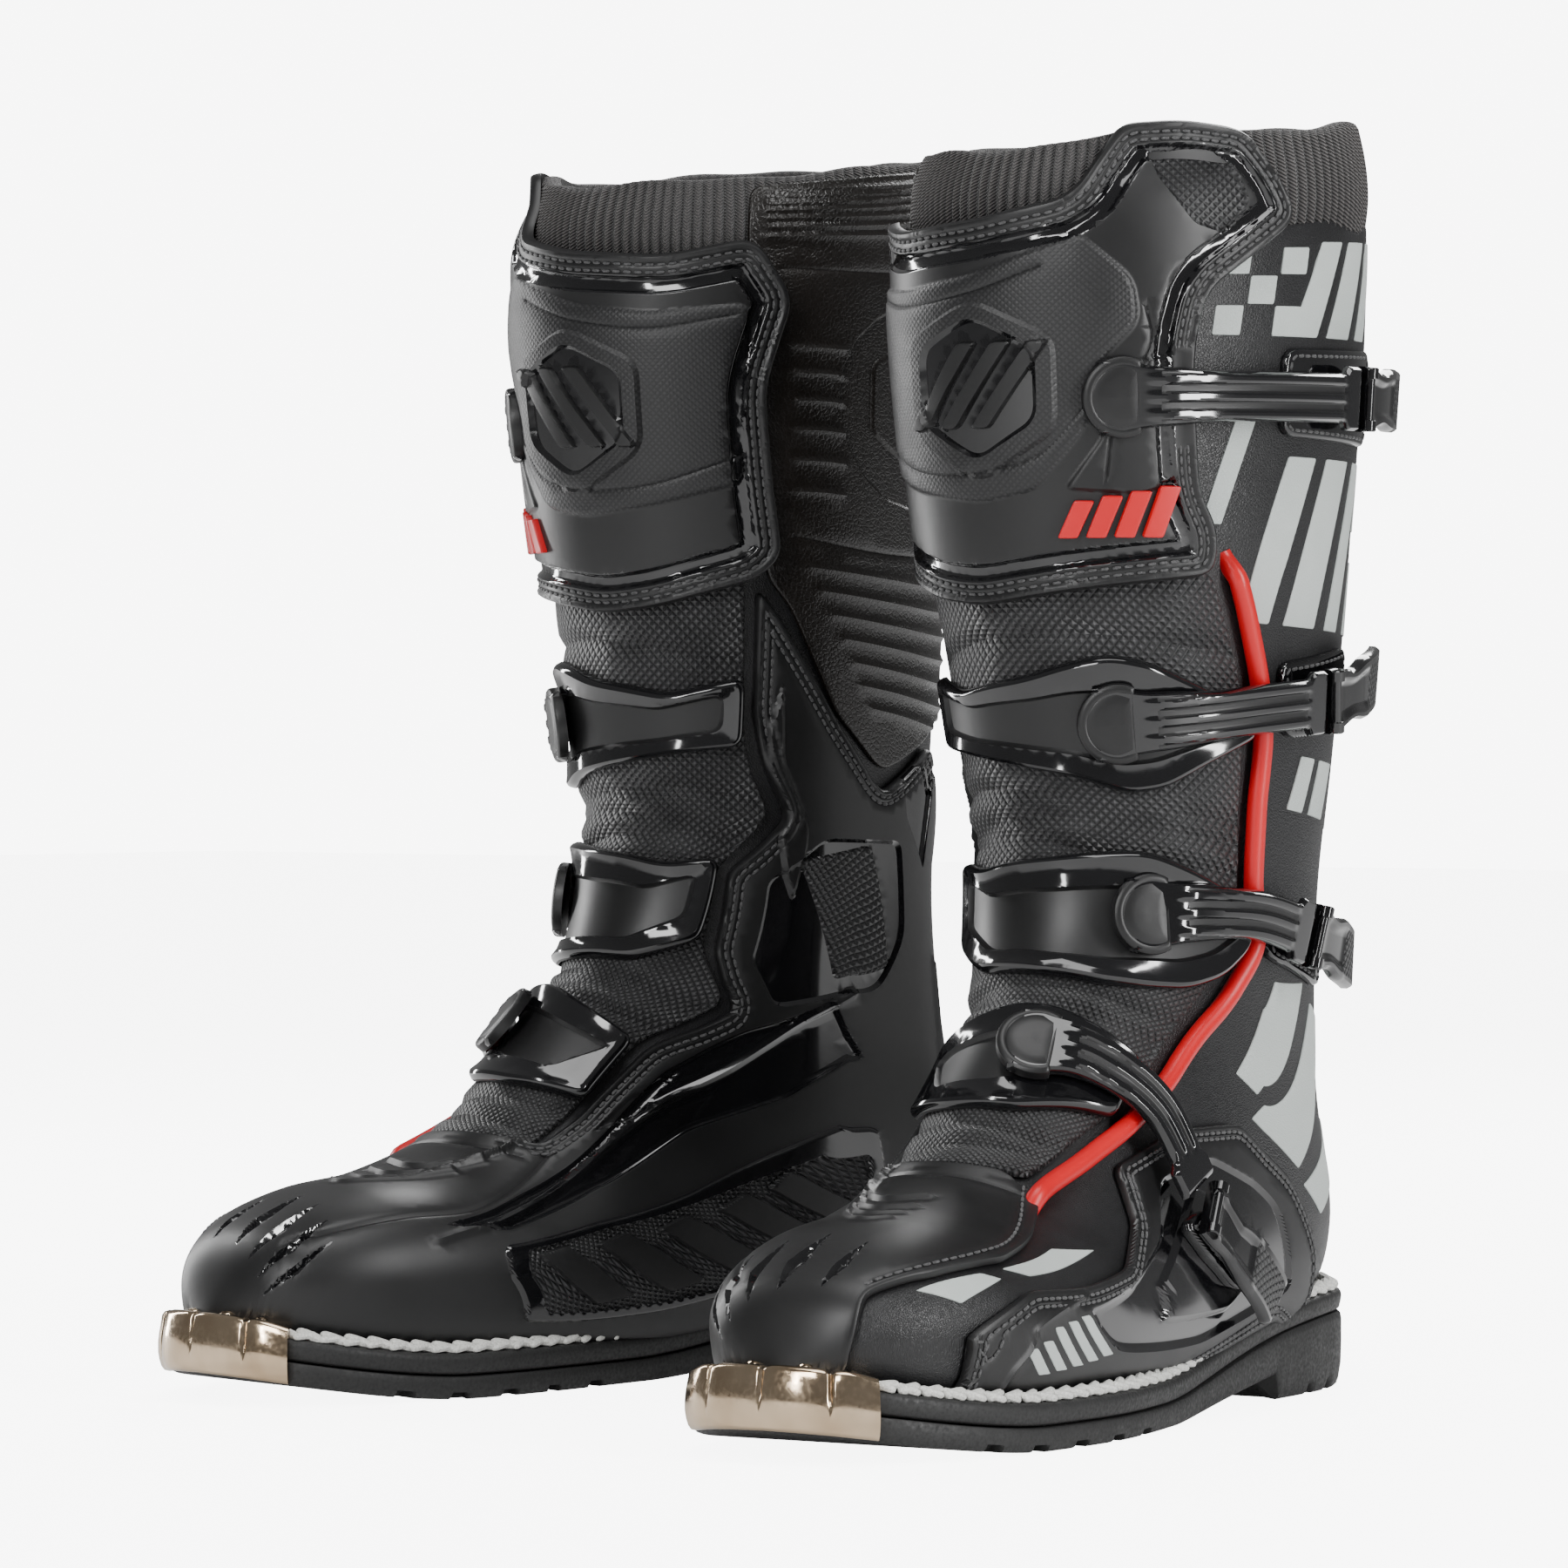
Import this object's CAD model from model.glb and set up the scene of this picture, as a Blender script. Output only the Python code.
"""A pair of motocross boots: the looks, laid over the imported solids."""
import math

import bmesh
import bpy
import numpy as np
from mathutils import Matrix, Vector, kdtree
from mathutils.geometry import delaunay_2d_cdt


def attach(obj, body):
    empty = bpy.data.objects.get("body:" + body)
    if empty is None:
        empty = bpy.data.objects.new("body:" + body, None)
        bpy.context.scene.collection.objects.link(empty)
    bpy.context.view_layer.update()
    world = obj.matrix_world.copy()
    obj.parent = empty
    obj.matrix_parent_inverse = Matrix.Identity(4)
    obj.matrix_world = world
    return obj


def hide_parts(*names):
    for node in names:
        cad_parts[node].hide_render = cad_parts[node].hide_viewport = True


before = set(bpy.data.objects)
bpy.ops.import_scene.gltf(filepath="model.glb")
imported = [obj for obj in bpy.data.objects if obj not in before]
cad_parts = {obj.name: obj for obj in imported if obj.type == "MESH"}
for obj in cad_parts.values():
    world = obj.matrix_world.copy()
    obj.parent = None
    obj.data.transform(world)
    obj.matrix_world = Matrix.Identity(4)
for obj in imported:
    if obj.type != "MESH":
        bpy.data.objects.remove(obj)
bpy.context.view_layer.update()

# ---------------------------------------------------------------- how the pair stands
SPACING, STAGGER, SPLAY, PAIR_CENTRE_Y = 195.0, 26.0, 8.7, 0.7
MM = 0.001

# ---------------------------------------------------------------- the last
# front y, front z, back y, back z, half-width outside, half-width inside,
# squareness of the front half and of the back half, share of the leg's twist
STATIONS = np.array([
    (-8, 393, 134, 409, 55.5, 53, 2.1, 2.1, 1),
    (-10, 373, 138, 389, 57.5, 55, 2.1, 2.1, 1),
    (-13, 352, 142, 363, 59.5, 57, 2.1, 2.1, 1),
    (-12, 314, 142, 316, 58.5, 56, 2.1, 2.1, 1),
    (-5, 261, 138, 257, 54, 52, 2.1, 2.1, 1),
    (5.5, 209, 134, 198, 48.5, 46, 2.1, 2.2, 0.8),
    (10, 168, 129, 144, 44, 42, 2.1, 2.3, 0.5),
    (2.5, 136, 135, 89, 40, 40, 2.1, 2.6, 0.2),
    (-12.5, 115, 147, 44, 40, 40, 2.1, 3, 0),
    (-32, 95, 118, 22, 42, 39.5, 2.1, 3.6, 0),
    (-56, 75, 52, 14, 45, 40.5, 2.1, 4, 0),
    (-83, 64, -20, 9, 49, 42, 2.2, 4, 0),
    (-108, 60, -75, 9, 47, 40.5, 2.3, 4, 0),
    (-130, 53, -118, 13, 36.5, 33, 2.4, 4, 0),
    (-144, 43, -141, 19, 22, 21, 2.4, 3, 0),
    (-150, 22, -149, 17, 2, 2, 2, 2, 0),
], dtype=float)
LEG_TWIST = 11.7
TOE_TIP = len(STATIONS) - 1

# half-widths of the sole's outline at points along y
SOLE_Y = [-157, -154, -149, -141, -130, -110, -80, -50, -15, 30, 70, 110, 135, 150, 157]
SOLE_END = 157  # the sole reaches this far fore and aft
SOLE_OUT = [5, 16, 24.5, 33, 40, 48.5, 54, 57, 52, 43.5, 40, 40.5, 35, 20, 6]
SOLE_IN = [5, 17, 25.5, 34, 39.5, 45, 48, 46, 40, 34, 35.5, 38.5, 34.5, 19.5, 6]


def spring(y):
    return 9 * np.clip((-88 - y) / 69, 0, 1) ** 1.6


def smoothstep(x, low=0.0, high=1.0):
    u = np.clip((x - low) / (high - low), 0, 1)
    return u * u * (3 - 2 * u)


def welt_top(y):
    return 14 + 16 * smoothstep(y, -20, 125) + spring(y)


def station(t):
    t = np.clip(np.asarray(t, float), -0.5, TOE_TIP - 1e-6)
    i = np.clip(np.floor(t).astype(int), 0, TOE_TIP - 1)
    b, c = STATIONS[i], STATIONS[i + 1]
    a = np.where((i > 0)[..., None], STATIONS[np.maximum(i - 1, 0)], 2 * b - c)
    d = np.where((i + 2 <= TOE_TIP)[..., None], STATIONS[np.minimum(i + 2, TOE_TIP)], 2 * c - b)
    u = (t - i)[..., None]
    cubic = (2 * a - 5 * b + 4 * c - d) * u**2 + (3 * b - a - 3 * c + d) * u**3
    return 0.5 * (2 * b + (c - a) * u + cubic)


def last(t, phi):
    """Points of the last in the boot's own frame: phi 0 is the front, 90 the outside."""
    t, phi = np.broadcast_arrays(np.asarray(t, float), np.asarray(phi, float))
    fy, fz, by, bz, out, inner, n_front, n_back, twist = np.moveaxis(station(t), -1, 0)
    c, s = np.cos(np.radians(phi)), np.sin(np.radians(phi))
    n = np.where(c > 0, n_front, n_back)
    along = np.sign(c) * np.abs(c) ** (2 / n)
    across = np.where(s > 0, out, inner) * np.sign(s) * np.abs(s) ** (2 / n)
    y = (fy - by) / 2 * along
    turn = np.radians(LEG_TWIST * twist)
    px = across * np.cos(turn) + y * np.sin(turn)
    py = (fy + by) / 2 - across * np.sin(turn) + y * np.cos(turn)
    pz = (fz + bz) / 2 + (fz - bz) / 2 * along
    return np.stack([px, py, pz], -1)


def slopes(t, phi):
    down = (last(t + 0.02, phi) - last(t - 0.02, phi)) / 0.04
    around = (last(t, phi + 0.6) - last(t, phi - 0.6)) / 1.2
    return down, around


def normal(t, phi):
    down, around = slopes(np.asarray(t, float), np.asarray(phi, float))
    n = np.cross(down, around)
    return n / np.maximum(np.linalg.norm(n, axis=-1, keepdims=True), 1e-9)


def skin(t, phi, offset):
    return last(t, phi) + normal(t, phi) * np.asarray(offset, float)[..., None]


# ---------------------------------------------------------------- chart of the last
T_GRID = np.linspace(0, TOE_TIP - 0.02, 400)
PHI_GRID = np.arange(-180, 180, 7.5)
TT, PP = np.meshgrid(T_GRID, PHI_GRID, indexing="ij")
DOWN, AROUND = slopes(TT, PP)
PER_DEGREE = np.linalg.norm(AROUND, axis=-1).mean(1)
LENGTH = np.concatenate([[0], np.cumsum(np.linalg.norm(DOWN, axis=-1).mean(1)[:-1] * np.diff(T_GRID))])


def to_uv(tp):
    t, phi = tp[..., 0], tp[..., 1]
    return np.stack([phi * np.interp(t, T_GRID, PER_DEGREE), np.interp(t, T_GRID, LENGTH)], -1)


def to_tp(uv):
    t = np.interp(uv[..., 1], LENGTH, T_GRID)
    return np.stack([t, uv[..., 0] / np.interp(t, T_GRID, PER_DEGREE)], -1)


def lengths(points):
    return np.concatenate([[0], np.cumsum(np.linalg.norm(np.diff(points, axis=0), axis=1))])


def resample(tp, step):
    """The same open path, with points evenly spaced on the last."""
    s = lengths(last(tp[:, 0], tp[:, 1]))
    n = max(2, int(round(s[-1] / step)) + 1)
    at = np.linspace(0, s[-1], n)
    return np.stack([np.interp(at, s, tp[:, 0]), np.interp(at, s, tp[:, 1])], 1)


def smooth_path(points, step=1.5):
    """A smooth open path through (station, angle) points."""
    p = to_uv(np.array(points, float))
    ext = np.vstack([2 * p[0] - p[1], p, 2 * p[-1] - p[-2]])
    out = []
    for i in range(1, len(ext) - 2):
        a, b, c, d = ext[i - 1:i + 3]
        u = np.linspace(0, 1, 24, endpoint=False)[:, None]
        out.append(0.5 * (2 * b + (c - a) * u + (2 * a - 5 * b + 4 * c - d) * u**2
                          + (3 * b - a - 3 * c + d) * u**3))
    out.append(ext[-2:-1])
    return resample(to_tp(np.vstack(out)), step)


def rounded(points, radius=4.0, step=1.6, closed=True):
    """An outline through (station, angle) corners, each rounded off by about radius mm."""
    p = to_uv(np.array(points, float))
    n = len(p)
    out = []
    for i in range(n):
        if not closed and i in (0, n - 1):
            out.append(p[i:i + 1])
            continue
        before, here, after = p[i - 1], p[i], p[(i + 1) % n]
        a, b = before - here, after - here
        la, lb = np.linalg.norm(a), np.linalg.norm(b)
        r = min(radius, la * 0.46, lb * 0.46)
        start, end = here + a / la * r, here + b / lb * r
        u = np.linspace(0, 1, 7)[:, None]
        out.append((1 - u) ** 2 * start + 2 * u * (1 - u) * here + u**2 * end)
    path = np.vstack(out)
    if closed:
        path = np.vstack([path, path[:1]])
    dense = []
    for a, b in zip(path[:-1], path[1:]):
        k = max(1, int(np.linalg.norm(b - a) / 1.0))
        dense.append(a + (b - a) * np.linspace(0, 1, k, endpoint=False)[:, None])
    dense.append(path[-1:])
    tp = resample(to_tp(np.vstack(dense)), step)
    return tp[:-1] if closed else tp


def sideways(tp, distance, closed):
    """The path moved across the surface by distance, to the left of its direction seen from outside."""
    p = last(tp[:, 0], tp[:, 1])
    if closed:
        ahead = np.roll(p, -1, 0) - np.roll(p, 1, 0)
    else:
        ahead = np.gradient(p, axis=0)
    n = normal(tp[:, 0], tp[:, 1])
    side = np.cross(n, ahead)
    side /= np.maximum(np.linalg.norm(side, axis=1, keepdims=True), 1e-9)
    down, around = slopes(tp[:, 0], tp[:, 1])
    aa, ab, bb = (down * down).sum(1), (down * around).sum(1), (around * around).sum(1)
    ra, rb = (down * side).sum(1), (around * side).sum(1)
    det = aa * bb - ab * ab
    move = np.stack([(ra * bb - rb * ab) / det, (rb * aa - ra * ab) / det], 1)
    return tp + move * np.asarray(distance, float).reshape(-1, 1)


def turns_left(tp):
    uv = to_uv(tp)
    nxt = np.roll(uv, -1, 0)
    return (uv[:, 0] * nxt[:, 1] - nxt[:, 0] * uv[:, 1]).sum() < 0


class Near:
    """Distance in millimetres from points on the last to a path on it."""

    def __init__(self, tp, closed):
        p = last(tp[:, 0], tp[:, 1])
        q = np.vstack([p, p[:1]]) if closed else p
        s = lengths(q)
        at = np.arange(0, s[-1], 0.35)
        dense = np.stack([np.interp(at, s, q[:, k]) for k in range(3)], 1)
        self.tree = kdtree.KDTree(len(dense))
        for i, v in enumerate(dense):
            self.tree.insert(v, i)
        self.tree.balance()

    def __call__(self, points):
        return np.array([self.tree.find(v)[2] for v in points])


def inside(uv, polygon):
    x, y = uv[:, 0][:, None], uv[:, 1][:, None]
    a, b = polygon, np.roll(polygon, -1, 0)
    crosses = (a[:, 1] > y) != (b[:, 1] > y)
    with np.errstate(divide="ignore", invalid="ignore"):
        at = (b[:, 0] - a[:, 0]) * (y - a[:, 1]) / (b[:, 1] - a[:, 1]) + a[:, 0]
    return (crosses & (x < at)).sum(1) % 2 == 1


# ---------------------------------------------------------------- relief
class Line:
    """A groove (negative height) or rib along a path."""

    def __init__(self, points, width, height):
        self.tp = smooth_path(points, 1.2)
        self.width, self.height = width, height
        self.near = Near(self.tp, False)

    def mesh_points(self):
        w = self.width
        return [sideways(self.tp, k * w, False) for k in (-1.05, -0.55, 0, 0.55, 1.05)]

    def at(self, tp, uv, p):
        x = np.clip(self.near(p) / self.width, 0, 1)
        return self.height * (0.5 + 0.5 * np.cos(np.pi * x))


class Area:
    """A part of a panel raised or sunk by height, with a sloping side edge mm wide."""

    def __init__(self, points, height, edge=1.2, radius=3.0, crown=0.0):
        self.tp = rounded(points, radius, 1.3)
        if not turns_left(self.tp):
            self.tp = self.tp[::-1]
        self.height, self.edge, self.crown = height, edge, crown
        self.near, self.uv = Near(self.tp, True), to_uv(self.tp)

    def mesh_points(self):
        e = self.edge
        rows = (-0.7, 0.0, max(0.55, e * 0.5), max(1.1, e), max(1.7, e * 1.7))
        return [sideways(self.tp, k, True) for k in rows]

    def signed(self, uv, p):
        return self.near(p) * np.where(inside(uv, self.uv), 1, -1)

    def at(self, tp, uv, p):
        d = self.signed(uv, p)
        return self.height * smoothstep(d, 0, self.edge) + self.crown * smoothstep(d, 0, 9)


class Mesh:
    """Vertices in the boot's frame in mm, faces, uv in mm for each vertex and a
    material index for each face."""

    def __init__(self, v=(), f=(), uv=None, m=None):
        self.v = np.array(v, float).reshape(-1, 3)
        self.f = [tuple(int(k) for k in face) for face in f]
        self.uv = np.zeros((len(self.v), 2)) if uv is None else np.array(uv, float)
        self.m = [0] * len(self.f) if m is None else list(m)

    def add(self, other, material=None):
        n = len(self.v)
        self.v = np.vstack([self.v, other.v])
        self.uv = np.vstack([self.uv, other.uv])
        self.f += [tuple(k + n for k in face) for face in other.f]
        self.m += [material] * len(other.f) if material is not None else other.m
        return self


def triangulate(uv, ring):
    """Triangles over points of the chart, kept inside the first ring points."""
    pts = [Vector((float(a), float(b))) for a, b in uv]
    made = delaunay_2d_cdt(pts, [], [list(range(ring))], 1, 1e-5)
    coords, faces, back = made[0], made[2], made[3]
    index = [orig[0] if orig else -1 for orig in back]
    for i, k in enumerate(index):
        if k < 0:
            d = ((uv - np.array(coords[i])) ** 2).sum(1)
            index[i] = int(d.argmin())
    out = []
    for face in faces:
        g = [index[k] for k in face]
        if len(set(g)) == len(g):
            out.append(g)
    return out


def panel(outline, inner, outer, edge=1.4, radius=4.0, grid=3.2, step=1.6, relief=(), zone=None,
          shape=None):
    """A closed shell on the last inside an outline.

    shape(tp, d) gives extra height at distance d from the edge.
    """
    ring = rounded(outline, radius, step)
    if not turns_left(ring):
        ring = ring[::-1]
    near = Near(ring, True)
    ring_uv = to_uv(ring)
    tps = [ring]
    for d in (edge * 0.3, edge * 0.65, edge * 1.05, edge * 1.9):
        cand = sideways(ring, d, True)
        ok = near(last(cand[:, 0], cand[:, 1])) > d * 0.82
        cand = cand[ok & inside(to_uv(cand), ring_uv)]
        tps.append(cand)
    first = np.vstack(tps)
    extra = []
    for item in relief:
        for path in item.mesh_points():
            d = near(last(path[:, 0], path[:, 1]))
            extra.append(path[(d > edge * 1.15) & inside(to_uv(path), ring_uv)])
    if extra:
        extra = np.vstack(extra)
    low, high = ring_uv.min(0), ring_uv.max(0)
    gu, gv = np.meshgrid(np.arange(low[0], high[0], grid), np.arange(low[1], high[1], grid), indexing="ij")
    gu[:, 1::2] += grid / 2
    g = np.stack([gu.ravel(), gv.ravel()], 1)
    g = g[inside(g, ring_uv)]
    g = to_tp(g)
    if len(g):
        g = g[near(last(g[:, 0], g[:, 1])) > edge * 1.9 + grid * 0.4]
    chosen = [first]
    if len(extra):
        chosen.append(thin(extra, 0.45))
    if len(g):
        if len(extra):
            taken = kdtree.KDTree(len(chosen[-1]))
            for i, v in enumerate(last(chosen[-1][:, 0], chosen[-1][:, 1])):
                taken.insert(v, i)
            taken.balance()
            far = [taken.find(v)[2] > grid * 0.5 for v in last(g[:, 0], g[:, 1])]
            g = g[np.array(far)]
        chosen.append(g)
    tp = np.vstack(chosen)
    uv = to_uv(tp)
    faces = triangulate(uv, len(ring))
    p = last(tp[:, 0], tp[:, 1])
    d = near(p)
    d[:len(ring)] = 0
    x = np.clip(d / edge, 0, 1)
    height = outer - edge + edge * np.sqrt(np.clip(1 - (1 - x) ** 2, 0, 1))
    inset = 0
    for item in relief:
        inset = inset + item.at(tp, uv, p)
    height = height + inset * smoothstep(d, 0, edge)
    if shape is not None:
        height = height + shape(tp, d)
    top = p + normal(tp[:, 0], tp[:, 1]) * height[:, None]
    # the underside follows the last on a coarser grid
    ug, vg = np.meshgrid(np.arange(low[0], high[0], 9), np.arange(low[1], high[1], 9), indexing="ij")
    c = np.stack([ug.ravel(), vg.ravel()], 1)
    c = to_tp(c[inside(c, ring_uv)])
    if len(c):
        c = c[near(last(c[:, 0], c[:, 1])) > 4]
    under_tp = np.vstack([ring, c]) if len(c) else ring
    under_faces = triangulate(to_uv(under_tp), len(ring))
    low = inner(under_tp) if callable(inner) else np.full(len(under_tp), float(inner))
    under = skin(under_tp[:, 0], under_tp[:, 1], low)
    n = len(top)
    k = len(ring)
    if zone is None:
        mats = [0] * len(faces)
    else:
        centre = np.array([[uv[list(f)].mean(0)] for f in faces])[:, 0]
        ctp = to_tp(centre)
        cp = last(ctp[:, 0], ctp[:, 1])
        mats = list(zone(ctp, centre, cp, near(cp)))
    v, fuv = np.vstack([top, under]), np.vstack([uv, to_uv(under_tp)])
    f = orient(v, tp, under_tp, faces, under_faces, n)
    mats = mats + [0] * len(under_faces)
    for i in range(k):
        j = (i + 1) % k
        f.append((i, i + n, j + n, j))
        mats.append(0)
    return Mesh(v, f, fuv, mats)


def orient(v, tp, under_tp, faces, under_faces, n):
    """Top faces turned outwards and bottom faces inwards."""
    out = []
    top_n = normal(tp[:, 0], tp[:, 1])
    for face in faces:
        a, b, c = v[face[0]], v[face[1]], v[face[2]]
        up = np.dot(np.cross(b - a, c - a), top_n[face[0]]) > 0
        out.append(tuple(face) if up else tuple(face[::-1]))
    under_n = normal(under_tp[:, 0], under_tp[:, 1])
    for face in under_faces:
        a, b, c = (v[k + n] for k in face[:3])
        up = np.dot(np.cross(b - a, c - a), under_n[face[0]]) > 0
        face = face[::-1] if up else face
        out.append(tuple(k + n for k in face))
    return out


def thin(tp, gap):
    """Drops points closer than gap to one already kept."""
    p = last(tp[:, 0], tp[:, 1])
    seen, keep = set(), []
    for i, key in enumerate(map(tuple, np.round(p / gap).astype(int))):
        if key not in seen:
            seen.add(key)
            keep.append(i)
    return tp[keep]


# ---------------------------------------------------------------- sweeps
def grid_solid(top, under, wrap_u=False, uv=None, mats=None):
    """A closed solid between two grids (rows x columns x 3). Rows run down, columns to the right."""
    rows, cols = top.shape[:2]
    n = rows * cols
    v = np.vstack([top.reshape(-1, 3), under.reshape(-1, 3)])
    f, m = [], []
    span = cols if wrap_u else cols - 1
    for i in range(rows - 1):
        for j in range(span):
            a, b = i * cols + j, i * cols + (j + 1) % cols
            c, d = b + cols, a + cols
            kind = 0 if mats is None else int(mats[i, j])
            f += [(a, d, c, b), (a + n, b + n, c + n, d + n)]
            m += [kind, 0]
    for j in range(span):
        a, b = j, (j + 1) % cols
        f += [(a, b, b + n, a + n)]
        a, b = a + (rows - 1) * cols, b + (rows - 1) * cols
        f += [(b, a, a + n, b + n)]
        m += [0, 0]
    if not wrap_u:
        for i in range(rows - 1):
            a, d = i * cols, (i + 1) * cols
            f += [(d, a, a + n, d + n)]
            a, d = a + cols - 1, d + cols - 1
            f += [(a, d, d + n, a + n)]
            m += [0, 0]
    if uv is None:
        uv = np.zeros((n, 2))
    return Mesh(v, f, np.vstack([uv.reshape(-1, 2)] * 2), m)


def loop_solid(loops):
    """A closed solid through loops of equal length (rings x points x 3)."""
    rings, n = loops.shape[:2]
    v = np.vstack([loops.reshape(-1, 3), loops[0].mean(0), loops[-1].mean(0)])
    last_ring, start, end = (rings - 1) * n, rings * n, rings * n + 1
    f = []
    for r in range(rings - 1):
        for k in range(n):
            a, b = r * n + k, r * n + (k + 1) % n
            f.append((a, b, b + n, a + n))
    for k in range(n):
        f.append((start, (k + 1) % n, k))
        f.append((end, last_ring + k, last_ring + (k + 1) % n))
    around = np.linspace(0, 1, n)
    uv = np.stack([np.tile(around * 20, rings), np.repeat(np.arange(rings), n)], 1)
    uv = np.vstack([uv, np.zeros((2, 2))])
    return Mesh(v, f, uv, [0] * len(f))


def frames_on(tp, offset):
    """Place, outward normal, direction ahead and direction to the left, along a path on the last."""
    n = normal(tp[:, 0], tp[:, 1])
    p = last(tp[:, 0], tp[:, 1]) + n * np.asarray(offset, float).reshape(-1, 1)
    ahead = np.gradient(p, axis=0)
    ahead /= np.linalg.norm(ahead, axis=1, keepdims=True)
    left = np.cross(n, ahead)
    left /= np.linalg.norm(left, axis=1, keepdims=True)
    n = np.cross(ahead, left)
    return p, n, ahead, left


def tube(tp, radius, offset, sides=12, squash=1.0):
    p, n, _, left = frames_on(tp, offset)
    a = np.arange(sides) * 2 * np.pi / sides
    radius = np.broadcast_to(radius, len(tp))
    loops = (p[:, None] + left[:, None] * (radius[:, None] * np.cos(a))[..., None]
             + n[:, None] * (radius[:, None] * squash * np.sin(a))[..., None])
    return loop_solid(loops[:, ::-1])


def pill(length, width, height, sides=8):
    """A small stitch lying along y: vertices and faces."""
    rings = [(-0.5, 0.25), (-0.46, 0.62), (-0.36, 0.9), (-0.15, 1.0), (0.15, 1.0), (0.36, 0.9),
             (0.46, 0.62), (0.5, 0.25)]
    a = np.arange(sides) * 2 * np.pi / sides
    loops = np.array([np.stack([np.cos(a) * width / 2 * r, np.full(sides, y * length),
                                np.sin(a) * height / 2 * r], 1) for y, r in rings])
    m = loop_solid(loops[:, ::-1])
    return m.v, m.f


def scatter(template, places, ahead, left, up):
    """Copies of a small solid at places, y along ahead, x along -left, z along up."""
    tv, tf = template
    out_v = (places[:, None] - left[:, None] * tv[None, :, 0:1] + ahead[:, None] * tv[None, :, 1:2]
             + up[:, None] * tv[None, :, 2:3])
    k = len(tv)
    faces = [tuple(i + s * k for i in face) for s in range(len(places)) for face in tf]
    return Mesh(out_v.reshape(-1, 3), faces, np.zeros((len(places) * k, 2)))


def stitches(tp, offset, pitch=3.1, length=2.5, width=0.95, tilt=0.0, closed=False):
    """A row of stitches along a path, each lying on the surface at offset."""
    path = np.vstack([tp, tp[:1]]) if closed else tp
    path = resample(path, pitch)
    p, n, ahead, left = frames_on(path, offset(path) if callable(offset) else offset)
    c, s = math.cos(tilt), math.sin(tilt)
    along, over = ahead * c + left * s, left * c - ahead * s
    return scatter(pill(length, width, width * 0.8, 6), p, along, over, n)


def edge_rows(outline, radius, distances, keep=None):
    """Paths running inside an outline at the given distances from it."""
    ring = rounded(outline, radius, 1.4)
    if not turns_left(ring):
        ring = ring[::-1]
    near, uv = Near(ring, True), to_uv(ring)
    rows = []
    for d in distances:
        path = sideways(ring, d, True)
        ok = (near(last(path[:, 0], path[:, 1])) > d * 0.9) & inside(to_uv(path), uv)
        if keep is not None:
            ok &= keep(path)
        rows += runs(path, ok)
    return rows


def runs(path, ok):
    """The stretches of a closed path where ok holds, as open paths."""
    n = len(path)
    if ok.all():
        return [np.vstack([path, path[:1]])]
    start = int(np.argmin(ok))
    order = [(start + k) % n for k in range(n)]
    out, run = [], []
    for k in order:
        if ok[k] and (not run or np.linalg.norm(to_uv(path[k]) - to_uv(path[run[-1]])) < 6):
            run.append(k)
        else:
            if len(run) > 4:
                out.append(path[run])
            run = [k] if ok[k] else []
    if len(run) > 4:
        out.append(path[run])
    return out


def seam(rows, offset, **kw):
    made = Mesh()
    for row in rows:
        made.add(stitches(row, offset, **kw))
    return made


class Trench(Line):
    """The shallow groove that a row of stitches lies in."""

    def __init__(self, tp, width=1.0, height=-0.45):
        self.tp, self.width, self.height = tp, width, height
        self.near = Near(tp, False)

    def mesh_points(self):
        shares = (-1, 0, 1) if self.width < 1.5 else (-1, -0.5, 0, 0.5, 1)
        return [sideways(self.tp, k * self.width, False) for k in shares]


# ---------------------------------------------------------------- materials
def material(name, color, rough=0.5, metal=0.0, coat=0.0, sheen=0.0, spec=0.5):
    mat = bpy.data.materials.new(name)
    mat.use_nodes = True
    nodes, links = mat.node_tree.nodes, mat.node_tree.links
    bsdf = nodes["Principled BSDF"]
    bsdf.inputs["Base Color"].default_value = (*color, 1)
    bsdf.inputs["Roughness"].default_value = rough
    bsdf.inputs["Metallic"].default_value = metal
    bsdf.inputs["Coat Weight"].default_value = coat
    bsdf.inputs["Coat Roughness"].default_value = 0.06
    bsdf.inputs["Sheen Weight"].default_value = sheen
    bsdf.inputs["Specular IOR Level"].default_value = spec
    mat.diffuse_color = (*color, 1)
    return mat, nodes, links, bsdf


def texture(nodes, links, kind, scale, coord="UV", **settings):
    where = nodes.new("ShaderNodeTexCoord")
    node = nodes.new(kind)
    if "Scale" in node.inputs:
        node.inputs["Scale"].default_value = scale
    for key, value in settings.items():
        if hasattr(node, key):
            setattr(node, key, value)
        else:
            node.inputs[key.replace("_", " ")].default_value = value
    links.new(where.outputs[coord], node.inputs["Vector"])
    return node


def mix_color(nodes, links, factor, low, high, start=0.3, end=0.7):
    ramp = nodes.new("ShaderNodeValToRGB")
    ramp.color_ramp.elements[0].position, ramp.color_ramp.elements[1].position = start, end
    ramp.color_ramp.elements[0].color = (*low, 1)
    ramp.color_ramp.elements[1].color = (*high, 1)
    links.new(factor, ramp.inputs["Fac"])
    return ramp.outputs["Color"]


def mix_value(nodes, links, factor, low, high, start=0.3, end=0.7):
    node = nodes.new("ShaderNodeMapRange")
    node.inputs["From Min"].default_value, node.inputs["From Max"].default_value = start, end
    node.inputs["To Min"].default_value, node.inputs["To Max"].default_value = low, high
    links.new(factor, node.inputs["Value"])
    return node.outputs["Result"]


def bump(nodes, links, height, strength, distance, normal_in=None):
    node = nodes.new("ShaderNodeBump")
    node.inputs["Strength"].default_value = strength
    node.inputs["Distance"].default_value = distance
    links.new(height, node.inputs["Height"])
    if normal_in is not None:
        links.new(normal_in, node.inputs["Normal"])
    return node.outputs["Normal"]


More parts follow.
